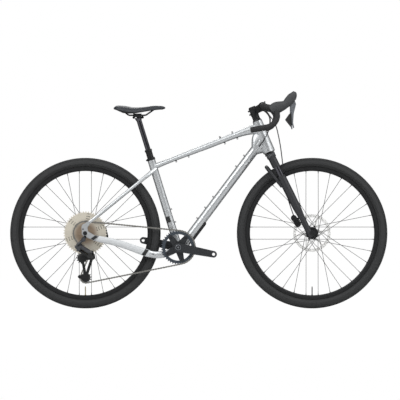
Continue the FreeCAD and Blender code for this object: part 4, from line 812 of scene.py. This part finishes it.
@dataclass
class Cockpit:
    """Bar tape, hoses and finishes of what steers, with sizes in millimetres."""

    bar: Vector
    swell_end: float = 86.0
    bend_out: float = 178.0
    hood_out: float = 215.0
    hood_drop: float = 16.0
    reach: float = 67.0
    drop: float = 115.0
    hook_rise: float = 21.0
    end_back: float = 57.0
    flare_degrees: float = 17.0
    bends: Point = (42.0, 42.0, 61.0)
    most_cut: float = 0.65
    spacing: float = 1.5
    # The tape's least radius, what a wrap adds to it across its width, and that width
    tape_radius: float = 13.5
    lap: float = 0.9
    wrap: float = 19.0
    tape_sides: int = 28

    # Where the hoses leave the bar, and the port in the frame, in metres
    under = (5, 0, -16)
    port = (0.28995, 0.024, 0.77574)
    # The cables' points from the bar, and the brake hose's from the bar and then from the axle
    loop_points = ((0, 112, 0), (30, 104, -20), (32, 80, -70), (14, 52, -128))
    brake_points = ((4, 128, 0), (54, 122, -40), (80, 110, -150))
    caliper_points = ((-140, 98, 340), (-130, 98, 220), (-108, 84, 144), (-94, 58, 101), (-88, 44, 85))

    def dress(self) -> None:
        """Finish the CAD nodes, wind the tape and run the hoses."""
        black = ("headset_bearings", "headset_spacers", "stem", "stem_faceplate", "handlebar")
        dress(dict.fromkeys(black, BLACK_ALLOY))
        dress({"stem_bolts": OXIDE_STEEL, "bar_plugs": NYLON, "hoods": HOOD_RUBBER, "shift_paddle": NYLON,
               "dropper_paddle": NYLON, "brake_lever_right": LEVER_GREY, "brake_lever_left": LEVER_GREY})
        for side in Side:
            self.wind(side)
        self.hoses()

    def line(self, side: Side) -> list[Vector]:
        """The bar's axis on one side, from the end of the swell to the end of the drop.

        Args:
            side: Which side.

        Returns:
            Points at about the chosen spacing.
        """
        flare = math.tan(math.radians(self.flare_degrees))
        fall = self.drop - self.hood_drop
        corners = ((0, self.swell_end, 0), (0, self.bend_out, 0),
                   (self.reach, self.hood_out, -self.hood_drop),
                   (self.reach, self.hood_out + (fall - self.hook_rise) * flare, self.hook_rise - self.drop),
                   (-self.end_back, self.hood_out + fall * flare, -self.drop))
        points = [self.bar + mm(x, side.value * y, z) for x, y, z in corners]
        line = [points[0]]
        for before, corner, after, bend in zip(points, points[1:], points[2:], self.bends):
            back = (before - corner).normalized()
            ahead = (after - corner).normalized()
            half = back.angle(ahead) / 2
            most = self.most_cut * min((before - corner).length, (after - corner).length)
            cut = min(bend * MM / math.tan(half), most)
            centre = corner + (back + ahead).normalized() * (cut / math.cos(half))
            first = corner + back * cut - centre
            last = corner + ahead * cut - centre
            swept = first.angle(last)
            steps = max(2, round(cut * math.tan(half) * swept / (self.spacing * MM)))
            line += self.straight(line[-1], centre + first)
            for share in (step / steps for step in range(1, steps + 1)):
                line.append(centre + (first * math.sin((1 - share) * swept) + last * math.sin(share * swept))
                            / math.sin(swept))
        return line + self.straight(line[-1], points[-1])

    def straight(self, start: Vector, end: Vector) -> list[Vector]:
        """Points from after the start to the end."""
        steps = max(1, round((end - start).length / (self.spacing * MM)))
        return [start.lerp(end, step / steps) for step in range(1, steps + 1)]

    def wind(self, side: Side) -> None:
        """Wind the tape: each turn laps over the one before it.

        Args:
            side: Which side of the bar.
        """
        def radius(run: float, turn: float) -> float:
            """The tape's radius, which grows across each wrap."""
            return (self.tape_radius + (run / MM / self.wrap + side.value * turn) % 1.0 * self.lap) * MM

        part = tube(self.line(side), self.tape_sides, radius)
        thing = piece(f"bar_tape_{side.name.lower()}", [part], TAPE, "steering")
        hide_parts("bar_tape")

    def hoses(self) -> None:
        """The two cables into the frame and the hose to the front brake."""
        under = self.bar + mm(*self.under)
        port_x, port_y, port_z = self.port
        for side in Side:
            route = [under + mm(x, side.value * y, z) for x, y, z in self.loop_points]
            route.append(Vector((port_x, side.value * port_y, port_z)))
            Hose(f"cable_loop_{side.name.lower()}", "frame_hoses", "frame", "steering",
                 tuple(tuple(point) for point in route)).build()
        route = [under + mm(*offset) for offset in self.brake_points]
        route += [FRONT_AXLE + mm(*offset) for offset in self.caliper_points]
        Hose("front_brake_hose_run", "front_brake_hose", "fork_lowers", "steering",
             tuple(tuple(point) for point in route)).build()


@dataclass
class Saddle:
    """The padded cover, base and clamp, with sizes in millimetres from the rails' middle."""

    middle: Vector
    length: float = 248.0
    half_width: float = 70.0
    around: int = 40
    steps: int = 44
    # Share of the length over which each end is rounded, and what its tip keeps: height, squared, and width
    end_share: float = 0.035
    tip: float = 0.02
    end_width: float = 0.35
    # How full the crown is, how far the edge rolls under, and how deep the pad is hollowed beneath
    crown_power: float = 0.75
    roll: float = 1.0
    hollow: float = 6.5
    # The base's points in a ring, its share of the pad's width, and how far it reaches up into the pad
    base_columns: int = 12
    base_width: float = 0.94
    base_rise: float = 2.0

    # Share of the length ahead of the rails, share of the half width, crown height, edge height
    sections = ((-0.466, 0.52, 44, 35), (-0.40, 0.88, 52, 30), (-0.24, 1.0, 50, 21), (-0.08, 0.78, 43, 18),
                (0.12, 0.48, 45, 24), (0.32, 0.33, 51, 31), (0.46, 0.27, 50, 36), (0.534, 0.16, 46, 38))
    # Share of the way from tail to nose and how far the base hangs below the pad's edge
    base_line = ((0.05, 1.5), (0.1, 4.0), (0.18, 7.5), (0.28, 6.5), (0.4, 4.5), (0.55, 3.0), (0.75, 1.5),
                 (0.88, 3.0), (0.95, 4.5), (0.985, 2.0))
    # Distance ahead of the rails' middle, height over it, radius and half length
    barrels = ((3.0, 1.5, 11.0, 21.0), (-19.2, -5.6, 6.0, 15.0), (23.3, -4.6, 6.0, 15.0))

    def dress(self) -> None:
        """Finish the seat's CAD nodes and make the cover, the base and the clamp's barrels."""
        dress({"saddle_shell": NYLON, "saddle_rails": OXIDE_STEEL, "saddle_clamp": BLACK_ALLOY,
               "dropper_inner_post": POLISHED_BLACK, "dropper_outer_tube": BLACK_ALLOY,
               "seat_clamp": BLACK_ALLOY})
        self.cover()
        self.base()
        self.clamp()

    def at(self, share: float) -> tuple[float, float, float, float]:
        """The pad's section at a share of the way from tail to nose, smoothly between the listed ones.

        Args:
            share: From 0 at the tail to 1 at the nose.

        Returns:
            Its distance ahead of the rails, half width, crown height and edge height.
        """
        table = self.sections
        ahead = table[0][0] + share * (table[-1][0] - table[0][0])
        index = max(i for i in range(len(table) - 1) if table[i][0] <= ahead + 1e-9)
        rows = [table[max(0, min(len(table) - 1, index + step))] for step in (-1, 0, 1, 2)]
        t = (ahead - rows[1][0]) / (rows[2][0] - rows[1][0])
        sizes = []
        for column in (1, 2, 3):
            a, b, c, d = (row[column] for row in rows)
            sizes.append(0.5 * (2 * b + (c - a) * t + (2 * a - 5 * b + 4 * c - d) * t * t
                                + (3 * b - a - 3 * c + d) * t ** 3))
        return ahead * self.length, sizes[0] * self.half_width, sizes[1], sizes[2]

    def cover(self) -> None:
        """A crowned pad with rolled edges and rounded ends, hollowed a little underneath."""
        rings = []
        for step in range(self.steps + 1):
            share = 0.5 - 0.5 * math.cos(math.pi * step / self.steps)
            ahead, half, crown, edge = self.at(share)
            inward = min(1.0, min(share, 1 - share) / self.end_share)
            shrink = math.sqrt(max(self.tip, 1 - (1 - inward) ** 2))
            wide = half * (self.end_width + (1 - self.end_width) * shrink)
            centre = (crown + edge) / 2
            ring = []
            for angle in (FULL_TURN * place / self.around for place in range(self.around)):
                aside, lift = math.cos(angle), math.sin(angle)
                if lift >= 0:
                    height = edge + (crown - edge) * lift ** self.crown_power
                else:
                    height = edge - self.roll * math.sqrt(-lift) - self.hollow * lift * lift * lift
                ring.append(self.middle + mm(ahead, aside * wide, centre + (height - centre) * shrink))
            rings.append(ring)
        thing = piece("saddle_pad", [skin(rings)], SADDLE_SKIN, "seat")
        thing.modifiers.new("Soft", "SUBSURF").levels = 1
        thing.modifiers["Soft"].render_levels = 1
        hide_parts("saddle_cover")

    def base(self) -> None:
        """The moulded base that shows below the pad's edge."""
        rings = []
        for share, depth in self.base_line:
            ahead, half, _, edge = self.at(share)
            ring = []
            for angle in (FULL_TURN * column / self.base_columns for column in range(self.base_columns)):
                lift = math.sin(angle)
                height = edge + lift * (self.base_rise if lift > 0 else depth)
                ring.append(self.middle + mm(ahead, self.base_width * half * math.cos(angle), height))
            rings.append(ring)
        piece("saddle_base_trim", [skin(rings)], NYLON, "seat")

    def clamp(self) -> None:
        """The barrel and the two cross nuts of the rail clamp."""
        parts = []
        for ahead, up, radius, half in self.barrels:
            profile = ((radius - 1, -half), (radius, 1 - half), (radius, half - 1), (radius - 1, half))
            parts.append(lathe(profile, self.middle + mm(ahead, 0, up), ACROSS, sides=32))
        piece("saddle_clamp_barrels", parts, BLACK_ALLOY, "seat", smooth=False)


# A toothed wheel's axis, its pitch radius and the way that the chain turns round it
Toothed = tuple[Vector, float, int]


@dataclass
class Chain:
    """The roller chain link by link, on the same loop as the model's, with sizes in millimetres."""

    pitch: float = 12.7
    plane: float = -46.0
    waist: float = 2.7
    roller: float = 3.8
    pin: float = 1.9
    pin_proud: float = 0.35
    # Share of the lower run, from the ring, at which its bend point lies; nothing bends there
    straight_share: float = 0.45

    # Height, and inner and outer face, of the inner and the outer plates
    plates = ((4.1, 1.05, 1.8), (3.9, 1.82, 2.45))
    # A plate's round end is drawn at these angles, in degrees
    fan = (-108, -72, -36, 0, 36, 72, 108)
    # The toothed wheels in the order that the chain travels
    axes = ("crank_spin", "tension_pulley_spin", "guide_pulley_spin", "rear_wheel_spin")
    teeth = (40, 13, 13, 28)
    turns = (-1, -1, 1, -1)
    # For each wheel, the stretch that lies on it and the one that follows it
    stretches = ((Run.RING, Run.LOWER), (Run.CAGE, Run.CAGE), (Run.CAGE, Run.FEED), (Run.RING, Run.RING))

    def wheels(self) -> list[Toothed]:
        """The toothed wheels."""
        centres = [Vector(joint(name)["pos_m"]) / MM for name in self.axes]
        radii = [self.pitch / 2 / math.sin(math.pi / count) for count in self.teeth]
        return list(zip(centres, radii, self.turns))

    @staticmethod
    def tangent(first: Toothed, second: Toothed) -> tuple[Vector, Vector]:
        """Where the chain leaves one wheel and where it meets the next."""
        run = second[0] - first[0]
        lean = math.asin((first[2] * first[1] - second[2] * second[1]) / run.length)
        angle = math.atan2(run.z, run.x) + lean
        side = Vector((math.sin(angle), 0, -math.cos(angle)))
        return first[0] + side * (first[2] * first[1]), second[0] + side * (second[2] * second[1])

    def rollers(self) -> list[tuple[Vector, Run]]:
        """The middles of the rollers round the loop, one pitch apart, each with its stretch."""
        wheels = self.wheels()
        points: list[tuple[Vector, Run]] = []
        spare = 0.0
        for index, (centre, radius, turn) in enumerate(wheels):
            on_wheel, after_wheel = self.stretches[index]
            before = self.tangent(wheels[index - 1], wheels[index])[1] - centre
            leave, meet = self.tangent(wheels[index], wheels[(index + 1) % len(wheels)])
            first = math.atan2(before.z, before.x)
            last = math.atan2(leave.z - centre.z, leave.x - centre.x)
            step = FULL_TURN / self.teeth[index]
            links = (turn * (last - first)) % FULL_TURN / step
            while spare < links:
                points.append((centre + radial(first + turn * spare * step) * radius, on_wheel))
                spare += 1
            spare -= links
            links = (meet - leave).length / self.pitch
            while spare < links:
                points.append((leave.lerp(meet, spare / links), after_wheel))
                spare += 1
            spare -= links
        return points[:2 * round(len(points) / 2)]

    def outline(self, height: float) -> list[Pair]:
        """A plate's outline: round at both pins, with a waist between them."""
        corners = []
        for end in (1, -1):
            for angle in map(math.radians, self.fan):
                along = self.pitch / 2 + height * math.cos(angle)
                corners.append((end * along, end * height * math.sin(angle)))
            corners.append((0.0, end * self.waist))
        return corners

    def build(self) -> None:
        """Make the links stretch by stretch and put them in the model's place.

        What lies on the pulleys moves with the cage; the two runs to them ride on no body and do not bend.
        """
        points = self.rollers()
        wheels = self.wheels()
        ring_end, lower_end = self.tangent(wheels[0], wheels[1])
        feed_end, sprocket_end = self.tangent(wheels[2], wheels[3])
        bend = ring_end.lerp(lower_end, self.straight_share)
        ends = {Run.LOWER: (bend, lower_end), Run.FEED: (sprocket_end, feed_end)}
        for stretch in Run:
            parts = []
            for index, (point, run) in enumerate(points):
                if run is stretch:
                    parts += self.link(index, point, points[(index + 1) % len(points)][0])
            name = f"chain_{stretch.value}_links"
            if stretch in ends:
                links = finished(name, parts, CHAIN_STEEL, smooth=False)
                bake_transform(links)
            else:
                body = "derailleur_cage" if stretch is Run.CAGE else "frame"
                links = piece(name, parts, CHAIN_STEEL, body, smooth=False)
            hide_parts("chain")

    def link(self, index: int, point: Vector, ahead: Vector) -> list[Mesh]:
        """One link's two plates, with the roller and the pin at its start.

        Args:
            index: Its number, which tells inner links from outer ones.
            point: Its roller's middle in side view.
            ahead: The next roller's middle.

        Returns:
            Its meshes.
        """
        run = (ahead - point).normalized()
        rise = Vector((-run.z, 0, run.x))
        middle = (point + ahead) / 2 + ACROSS * self.plane
        height, near, far = self.plates[index % 2]
        parts = []
        for side in Side:
            parts.append(skin([[(middle + run * x + rise * z + ACROSS * (side.value * y)) * MM
                                for x, z in self.outline(height)] for y in (near, far)]))
        foot = (point + ACROSS * self.plane) * MM
        inside, outside = self.plates[0][1], self.plates[1][2] + self.pin_proud
        for radius, half, sides in ((self.roller, inside, 14), (self.pin, outside, 10)):
            parts.append(lathe(((radius, -half), (radius, half)), foot, ACROSS, sides))
        return parts


@dataclass
class Drive:
    """Finishes and fasteners of the cranks, chain and derailleur, with sizes in millimetres."""

    bolt_circle: float = 58.0
    ring_plane: float = -52.9
    crank_degrees: float = 11.0
    arm_face: float = -76.0
    # The rings of painted shade behind the sprockets' holes: the first one's plane, how far each reaches past
    # its hole circle, and its thickness
    shade_ring_plane: float = -41.4
    shade_ring_reach: float = 3.0
    shade_ring_thickness: float = 0.5
    sprocket_pitch: float = 3.55

    spider_degrees = (63.0, 138.0, -138.0, -63.0)
    hole_circles = (59.2, 69.3, 81.4, 93.5)
    # Radius and height along the trim ring of the crank's cap
    cap_ring = ((11.0, -0.5), (13.2, -0.5), (13.2, 0.9), (12.4, 1.4), (11.0, 1.4))

    def dress(self) -> None:
        """Finish the CAD nodes and add the bolts, the painted shade behind the sprockets' holes and the
        chain.
        """
        # Nickel-plated steel sprockets: warm, pale and ringed by the stamping, with painted shade towards the
        # axle
        sprockets = Sprockets("nickel_plated_stamped_steel_with_painted_shade", "#DCD6C8", 0.36, metallic=0.5, grain_mm=0.7,
                              depth_mm=0.002, shade=0.08, axle=tuple(REAR_AXLE))
        dress({"cassette": sprockets, "freehub_body": SILVER_ALLOY, "chainring": RING_GREY,
               "crank_right": GREY_FORGED, "crank_left": GREY_FORGED, "bottom_bracket_cups": BLACK_ALLOY,
               "derailleur_hanger": BLACK_ALLOY, "derailleur_knuckle": LINK_GREY, "outer_link": LINK_GREY,
               "inner_link": BLACK_ALLOY, "cage_knuckle": NYLON, "derailleur_cage": BLACK_ALLOY,
               "guide_pulley": NYLON, "tension_pulley": NYLON})
        self.ring_bolts()
        self.crank_cap()
        self.hole_shade_rings()
        Chain().build()

    def hole_shade_rings(self) -> None:
        """Dark rings of painted shade behind the holes of the large sprockets, so that the holes look shaded.
        """
        parts = []
        for order, circle_radius in enumerate(self.hole_circles):
            foot = REAR_AXLE + ACROSS * ((self.shade_ring_plane + order * self.sprocket_pitch) * MM)
            inner, outer = circle_radius - self.shade_ring_reach, circle_radius + self.shade_ring_reach
            top = self.shade_ring_thickness
            section = ((inner, 0.0), (outer, 0.0), (outer, top), (inner, top))
            parts.append(lathe(section, foot, ACROSS, sides=72, closed=True))
        piece("sprocket_hole_shade_rings", parts, BLACK_ALLOY, "cassette", smooth=False)

    def ring_bolts(self) -> None:
        """Four bolts through the spider into the chainring."""
        places = []
        for lean in self.spider_degrees:
            out = radial(math.radians(lean - self.crank_degrees)) * self.bolt_circle
            places.append((CRANK_AXIS + (out + ACROSS * self.ring_plane) * MM, -ACROSS))
        SocketScrew(5.0, 1.6, 2.6).set_at("chainring_bolts", places, "crankset")

    def crank_cap(self) -> None:
        """The threaded cap in the middle of the right arm."""
        foot = CRANK_AXIS + ACROSS * (self.arm_face * MM)
        piece("crank_ring", [lathe(self.cap_ring, foot, -ACROSS)], LEVER_GREY, "crankset")
        SocketScrew(10.9, 1.8, 5.0, sides=48).set_at("crank_cap", [(foot, -ACROSS)], "crankset")


@dataclass
class Chassis:
    """Finishes and small trim of the frame and the fork, in millimetres unless said otherwise."""

    # The cover on the seat tube: its middle in metres, the tube's lean and radius, then its own sizes
    plate: Vector = Vector((-0.144, 0.0, 0.4272))
    seat_tilt_degrees: float = 17.2
    tube_radius: float = 18.6
    plate_proud: float = 1.6
    plate_sink: float = 0.6
    plate_middle: float = -100.0
    plate_arc: float = 62.0
    plate_columns: int = 13
    # The down tube's foot in metres, its way, its half depth and half width, then the bumper's sizes
    tube_foot: Vector = Vector((-0.08816, 0.0, 0.285))
    tube_way: Vector = Vector((0.600057, 0.0, 0.799957))
    tube_half: Pair = (21.8, 24.5)
    bumper_span: Pair = (66.0, 176.0)
    bumper_depth: float = 6.5
    bumper_edge: float = 1.0
    bumper_sink: float = 1.5
    bumper_inner: float = 0.97
    bumper_steps: int = 24
    bumper_columns: int = 11
    # Half of the bumper's arc in degrees, how fast it thins towards its sides, and how fast its ends rise
    bumper_arc: float = 50.0
    bumper_thinning: float = 1.7
    bumper_rise: float = 12.0
    # The bands: cells along and across, the share tried past each end, how far they stand out and sink in,
    # and the Y in metres that a point has to lie right of, which leaves out the left stay
    band_cells: tuple[int, int] = (30, 6)
    band_past: float = 0.3
    band_proud: float = 1.2
    band_sink: float = 0.8
    band_inside: float = -0.02
    insert_half: float = 32.0
    insert_proud: float = 2.0
    screw_sink: float = 0.4
    axle_face: float = 85.0

    # Height along the seat tube and how much of the arc is left off, from the cover's foot to its top
    plate_levels = ((-14.5, 0.25), (-13, 0.0), (13, 0.0), (14.5, 0.25))
    # Lower end, upper end and width of each band in side view
    bands = (((-516, 327), (-479, 354), 14.0), ((-263, 259), (-240, 293), 17.0))
    # Where each pair of inserts is centred, in metres, and the way that it faces
    insert_pairs = ((0.012216, 0.458473, -0.799957, 0.600057), (0.05062, 0.50967, -0.799957, 0.600057),
                    (0.198834, 0.70726, -0.799957, 0.600057), (-0.12372, 0.445249, 0.955278, 0.295708),
                    (-0.078077, 0.71732, 0.360501, -0.932759), (0.155261, 0.804286, 0.360501, -0.932759),
                    (0.13145, 0.832607, -0.360501, 0.932759))
    screw_points = ((301.4, 766.0), (-553.9, 380.6), (-219.0, 261.0))

    def dress(self) -> None:
        """Finish the CAD nodes and add the trim."""
        dress({"frame": SILVER, "cage_inserts": OXIDE_STEEL, "rear_axle": BLACK_ALLOY,
               "rear_caliper": BLACK_ALLOY, "frame_guards": GUARD, "fork_crown": CHARCOAL,
               "fork_lowers": CHARCOAL, "stanchions": POLISHED_BLACK, "fork_wipers": SEAL_RUBBER,
               "front_axle": BLACK_ALLOY, "front_caliper": BLACK_ALLOY})
        self.blanking_plate()
        self.axle_socket()
        self.stay_bands()
        self.bumper()
        self.cage_bolts()
        self.screws()

    def stay_bands(self) -> None:
        """Two slanted rubber bands on the drive side of the right chainstay, laid on it cell by cell."""
        parts = []
        rows, columns = self.band_cells
        for low, high, wide in self.bands:
            start = mm(low[0], 0.0, low[1])
            run = mm(high[0], 0.0, high[1]) - start
            aside = Vector((run.z, 0.0, -run.x)).normalized() * (wide * MM)
            grid = [[drive_side(start + run * ((1 + 2 * self.band_past) * row / rows - self.band_past)
                                + aside * (column / columns - 0.5))
                     for column in range(columns + 1)] for row in range(rows + 1)]
            for row in range(rows):
                for column in range(columns):
                    cell = grid[row][column:column + 2] + grid[row + 1][column:column + 2][::-1]
                    if all(hit is not None and hit.y < self.band_inside for hit in cell):
                        parts.append(skin([[hit - ACROSS * (self.band_proud * MM) for hit in cell],
                                           [hit + ACROSS * (self.band_sink * MM) for hit in cell]]))
        piece("chainstay_bands", parts, SEAL_RUBBER, "frame", smooth=False)

    def bumper(self) -> None:
        """The thick rubber bumper under the lower end of the down tube."""
        along = self.tube_way
        below = Vector((along.z, 0, -along.x))
        start, end = self.bumper_span
        rings = []
        for share in (step / self.bumper_steps for step in range(self.bumper_steps + 1)):
            centre = self.tube_foot + along * ((start + (end - start) * share) * MM)
            rise = math.sqrt(min(1.0, self.bumper_rise * min(share, 1 - share)))
            swell = self.bumper_edge + (self.bumper_depth - self.bumper_edge) * rise
            outer = []
            inner = []
            for column in range(self.bumper_columns):
                angle = math.radians(self.bumper_arc * (2 * column / (self.bumper_columns - 1) - 1))
                down = self.tube_half[0] * math.cos(angle)
                aside = ACROSS * (self.tube_half[1] * math.sin(angle))
                lift = swell * math.cos(self.bumper_thinning * angle)
                outer.append(centre + (below * (down + lift) + aside) * MM)
                inner.append(centre + (below * (down - self.bumper_sink) + aside * self.bumper_inner) * MM)
            rings.append(outer + inner[::-1])
        piece("down_tube_bumper", [skin(rings)], SEAL_RUBBER, "frame")

    def cage_bolts(self) -> None:
        """Low screws that close the threaded inserts of the bottle and bag mounts."""
        places: list[tuple[Vector, Vector]] = []
        for x, z, way_x, way_z in self.insert_pairs:
            out = Vector((way_x, 0.0, way_z))
            along = Vector((-way_z, 0.0, way_x))
            for offset in (-self.insert_half, self.insert_half):
                foot = Vector((x, 0.0, z)) + along * (offset * MM) + out * (self.insert_proud * MM)
                # Two pairs share an insert, which takes one screw
                if all((foot - other).length > MM for other, _ in places):
                    places.append((foot, out))
        SocketScrew(4.0, 3.0, 2.0).set_at("mount_screws", places, "frame")

    def screws(self) -> None:
        """Small dark screws on the drive side of the head tube, the dropout and the chainstay."""
        hits = [drive_side(mm(x, 0.0, z)) for x, z in self.screw_points]
        places = [(hit + ACROSS * (self.screw_sink * MM), -ACROSS) for hit in hits if hit is not None]
        SocketScrew(3.4, 1.2, 1.6).set_at("frame_screws", places, "frame")

    def blanking_plate(self) -> None:
        """A small curved cover on the drive side of the seat tube."""
        tilt = math.radians(self.seat_tilt_degrees)
        up = Vector((-math.sin(tilt), 0, math.cos(tilt)))
        fore = Vector((math.cos(tilt), 0, math.sin(tilt)))
        rings = []
        for level, inset in self.plate_levels:
            ring = []
            for lift, order in ((self.plate_proud, 1), (-self.plate_sink, -1)):
                radius = (self.tube_radius + lift) * MM
                for column in range(self.plate_columns)[::order]:
                    share = (column / (self.plate_columns - 1) - 0.5) * (1 - inset)
                    angle = math.radians(self.plate_middle + self.plate_arc * share)
                    ring.append(self.plate + up * (level * MM)
                                + (fore * math.cos(angle) + ACROSS * math.sin(angle)) * radius)
            rings.append(ring)
        piece("seat_tube_cover", [skin(rings)], NYLON, "frame", smooth=False)

    def axle_socket(self) -> None:
        """The socket of the rear through-axle, on the drive side."""
        foot = REAR_AXLE - ACROSS * (self.axle_face * MM)
        SocketScrew(9.0, 1.5, 3.6).set_at("rear_axle_socket", [(foot, -ACROSS)], "frame")


@dataclass
class Studio:
    """The floor, light and camera, in metres."""

    aim: Vector = Vector((0.006, 0.0, 0.52))
    away: float = 25.0
    seen: float = 1.92
    sensor_mm: float = 36.0
    clip_end: float = 200.0
    floor_reach: float = 40.0
    floor_level: float = -0.0016
    # The floor's colours in front, behind and to the eye, and where the first turns into the second
    floor_front: str = "#DCDCDC"
    floor_back: str = "#505050"
    floor_seen: str = "#E6E6E6"
    floor_change: Pair = (0.0, 0.6)
    # How much of the floor's look to the eye is plain white, and how bright that white is
    white_share: float = 0.9
    white_strength: float = 1.04
    box_size: Pair = (2.4, 1.6)

    # The tent's brightness: where each change starts and ends, and what it gives there
    above = ((-0.1, 0.7), (0.6, 1.3))
    behind = ((-0.05, 0.5), (1.0, 0.1))
    ahead = ((-0.85, -0.3), (0.84, 0.0))
    level = ((0.1, 0.5), (1.0, 0.0))
    # Name, place and power of each soft box
    boxes = (("box_left", (-2.6, -3.2, 3.4), 70.0), ("box_right", (2.8, -3.0, 3.2), 60.0),
             ("box_back", (0.0, 3.5, 3.2), 40.0))
    white = (1.0, 1.0, 1.0, 1.0)

    def build(self) -> None:
        """Set up the stage."""
        bpy.context.scene.view_settings.view_transform = "Standard"
        self.floor()
        self.world()
        self.lamps()
        self.camera()

    def floor(self) -> None:
        """A plain pale floor that stays white to the eye and keeps a soft shadow."""
        reach = self.floor_reach
        mesh = mesh_of([Vector((x * reach, y * reach, 0)) for x, y in SQUARE], [(0, 1, 2, 3)])
        mesh.name = "floor"
        thing = bpy.data.objects.new("floor", mesh)
        thing.location.z = self.floor_level
        bpy.context.scene.collection.objects.link(thing)
        made = bpy.data.materials.new("white_painted_studio_floor")
        made.use_nodes = True
        made.node_tree.nodes.clear()
        graph = Graph(made.node_tree)
        eye = graph.add("LightPath").outputs["Is Camera Ray"]
        across = graph.add("SeparateXYZ", {0: graph.add("TexCoord").outputs["Object"]}).outputs[1]
        change = graph.ramp(across, self.floor_change, (0.0, 1.0))
        swept = graph.mix(change, linear(self.floor_front), linear(self.floor_back))
        paint = graph.add("BsdfDiffuse", {"Color": graph.mix(eye, swept, linear(self.floor_seen))})
        glow = graph.add("Emission", {"Color": self.white, "Strength": self.white_strength})
        share = graph.calc("MULTIPLY", eye, self.white_share)
        mix = graph.add("MixShader", {0: share, 1: paint.outputs[0], 2: glow.outputs[0]})
        graph.add("OutputMaterial", {0: mix.outputs[0]})
        mesh.materials.append(made)

    def world(self) -> None:
        """White to the eye; for the object, a tent that is bright above, greyer in front and dark behind."""
        world = bpy.data.worlds.new("studio")
        bpy.context.scene.world = world
        world.use_nodes = True
        world.node_tree.nodes.clear()
        graph = Graph(world.node_tree)
        way = graph.add("SeparateXYZ", {0: graph.add("TexCoord").outputs["Generated"]}).outputs
        steep = graph.calc("ABSOLUTE", way[2])
        ahead = graph.calc("MULTIPLY", graph.ramp(way[1], *self.ahead), graph.ramp(steep, *self.level))
        roof = graph.calc("MULTIPLY", graph.ramp(way[2], *self.above), graph.ramp(way[1], *self.behind))
        glow = graph.calc("MULTIPLY", roof, graph.calc("SUBTRACT", 1.0, ahead))
        tent = graph.add("Background", {"Color": self.white, "Strength": glow})
        white = graph.add("Background", {"Color": self.white, "Strength": 1.0})
        eye = graph.add("LightPath").outputs["Is Camera Ray"]
        mix = graph.add("MixShader", {0: eye, 1: tent.outputs[0], 2: white.outputs[0]})
        graph.add("OutputWorld", {0: mix.outputs[0]})

    def lamps(self) -> None:
        """Two soft boxes above and in front, one each side, and a weaker one behind."""
        for name, place, energy in self.boxes:
            lamp = bpy.data.lights.new(name, "AREA")
            lamp.shape = "RECTANGLE"
            lamp.size, lamp.size_y = self.box_size
            lamp.energy = energy
            thing = bpy.data.objects.new(name, lamp)
            thing.location = place
            thing.rotation_euler = (self.aim - Vector(place)).to_track_quat("-Z", "Y").to_euler()
            bpy.context.scene.collection.objects.link(thing)

    def camera(self) -> None:
        """A level side view through a long lens, square to the bicycle."""
        lens = bpy.data.cameras.new("camera")
        lens.sensor_width = self.sensor_mm
        lens.lens = self.sensor_mm * self.away / self.seen
        lens.clip_end = self.clip_end
        thing = bpy.data.objects.new("camera", lens)
        thing.location = self.aim - ACROSS * self.away
        thing.rotation_euler = (math.pi / 2, 0.0, 0.0)
        bpy.context.scene.collection.objects.link(thing)
        bpy.context.scene.camera = thing


def main() -> None:
    """Build every sub-assembly in order."""
    logging.basicConfig(level=logging.INFO, format="%(name)s: %(message)s")
    Studio().build()
    Chassis().dress()
    Wheel(End.FRONT).dress()
    Wheel(End.REAR, left_flange=34.0, right_flange=20.0, rotor_plane=58.0).dress()
    Cockpit(bar=Vector((0.30622, 0.0, 0.96793))).dress()
    Saddle(middle=Vector((-0.29274, 0.0, 0.92157))).dress()
    Drive().dress()
    bpy.context.view_layer.update()


if __name__ == "__main__":
    main()
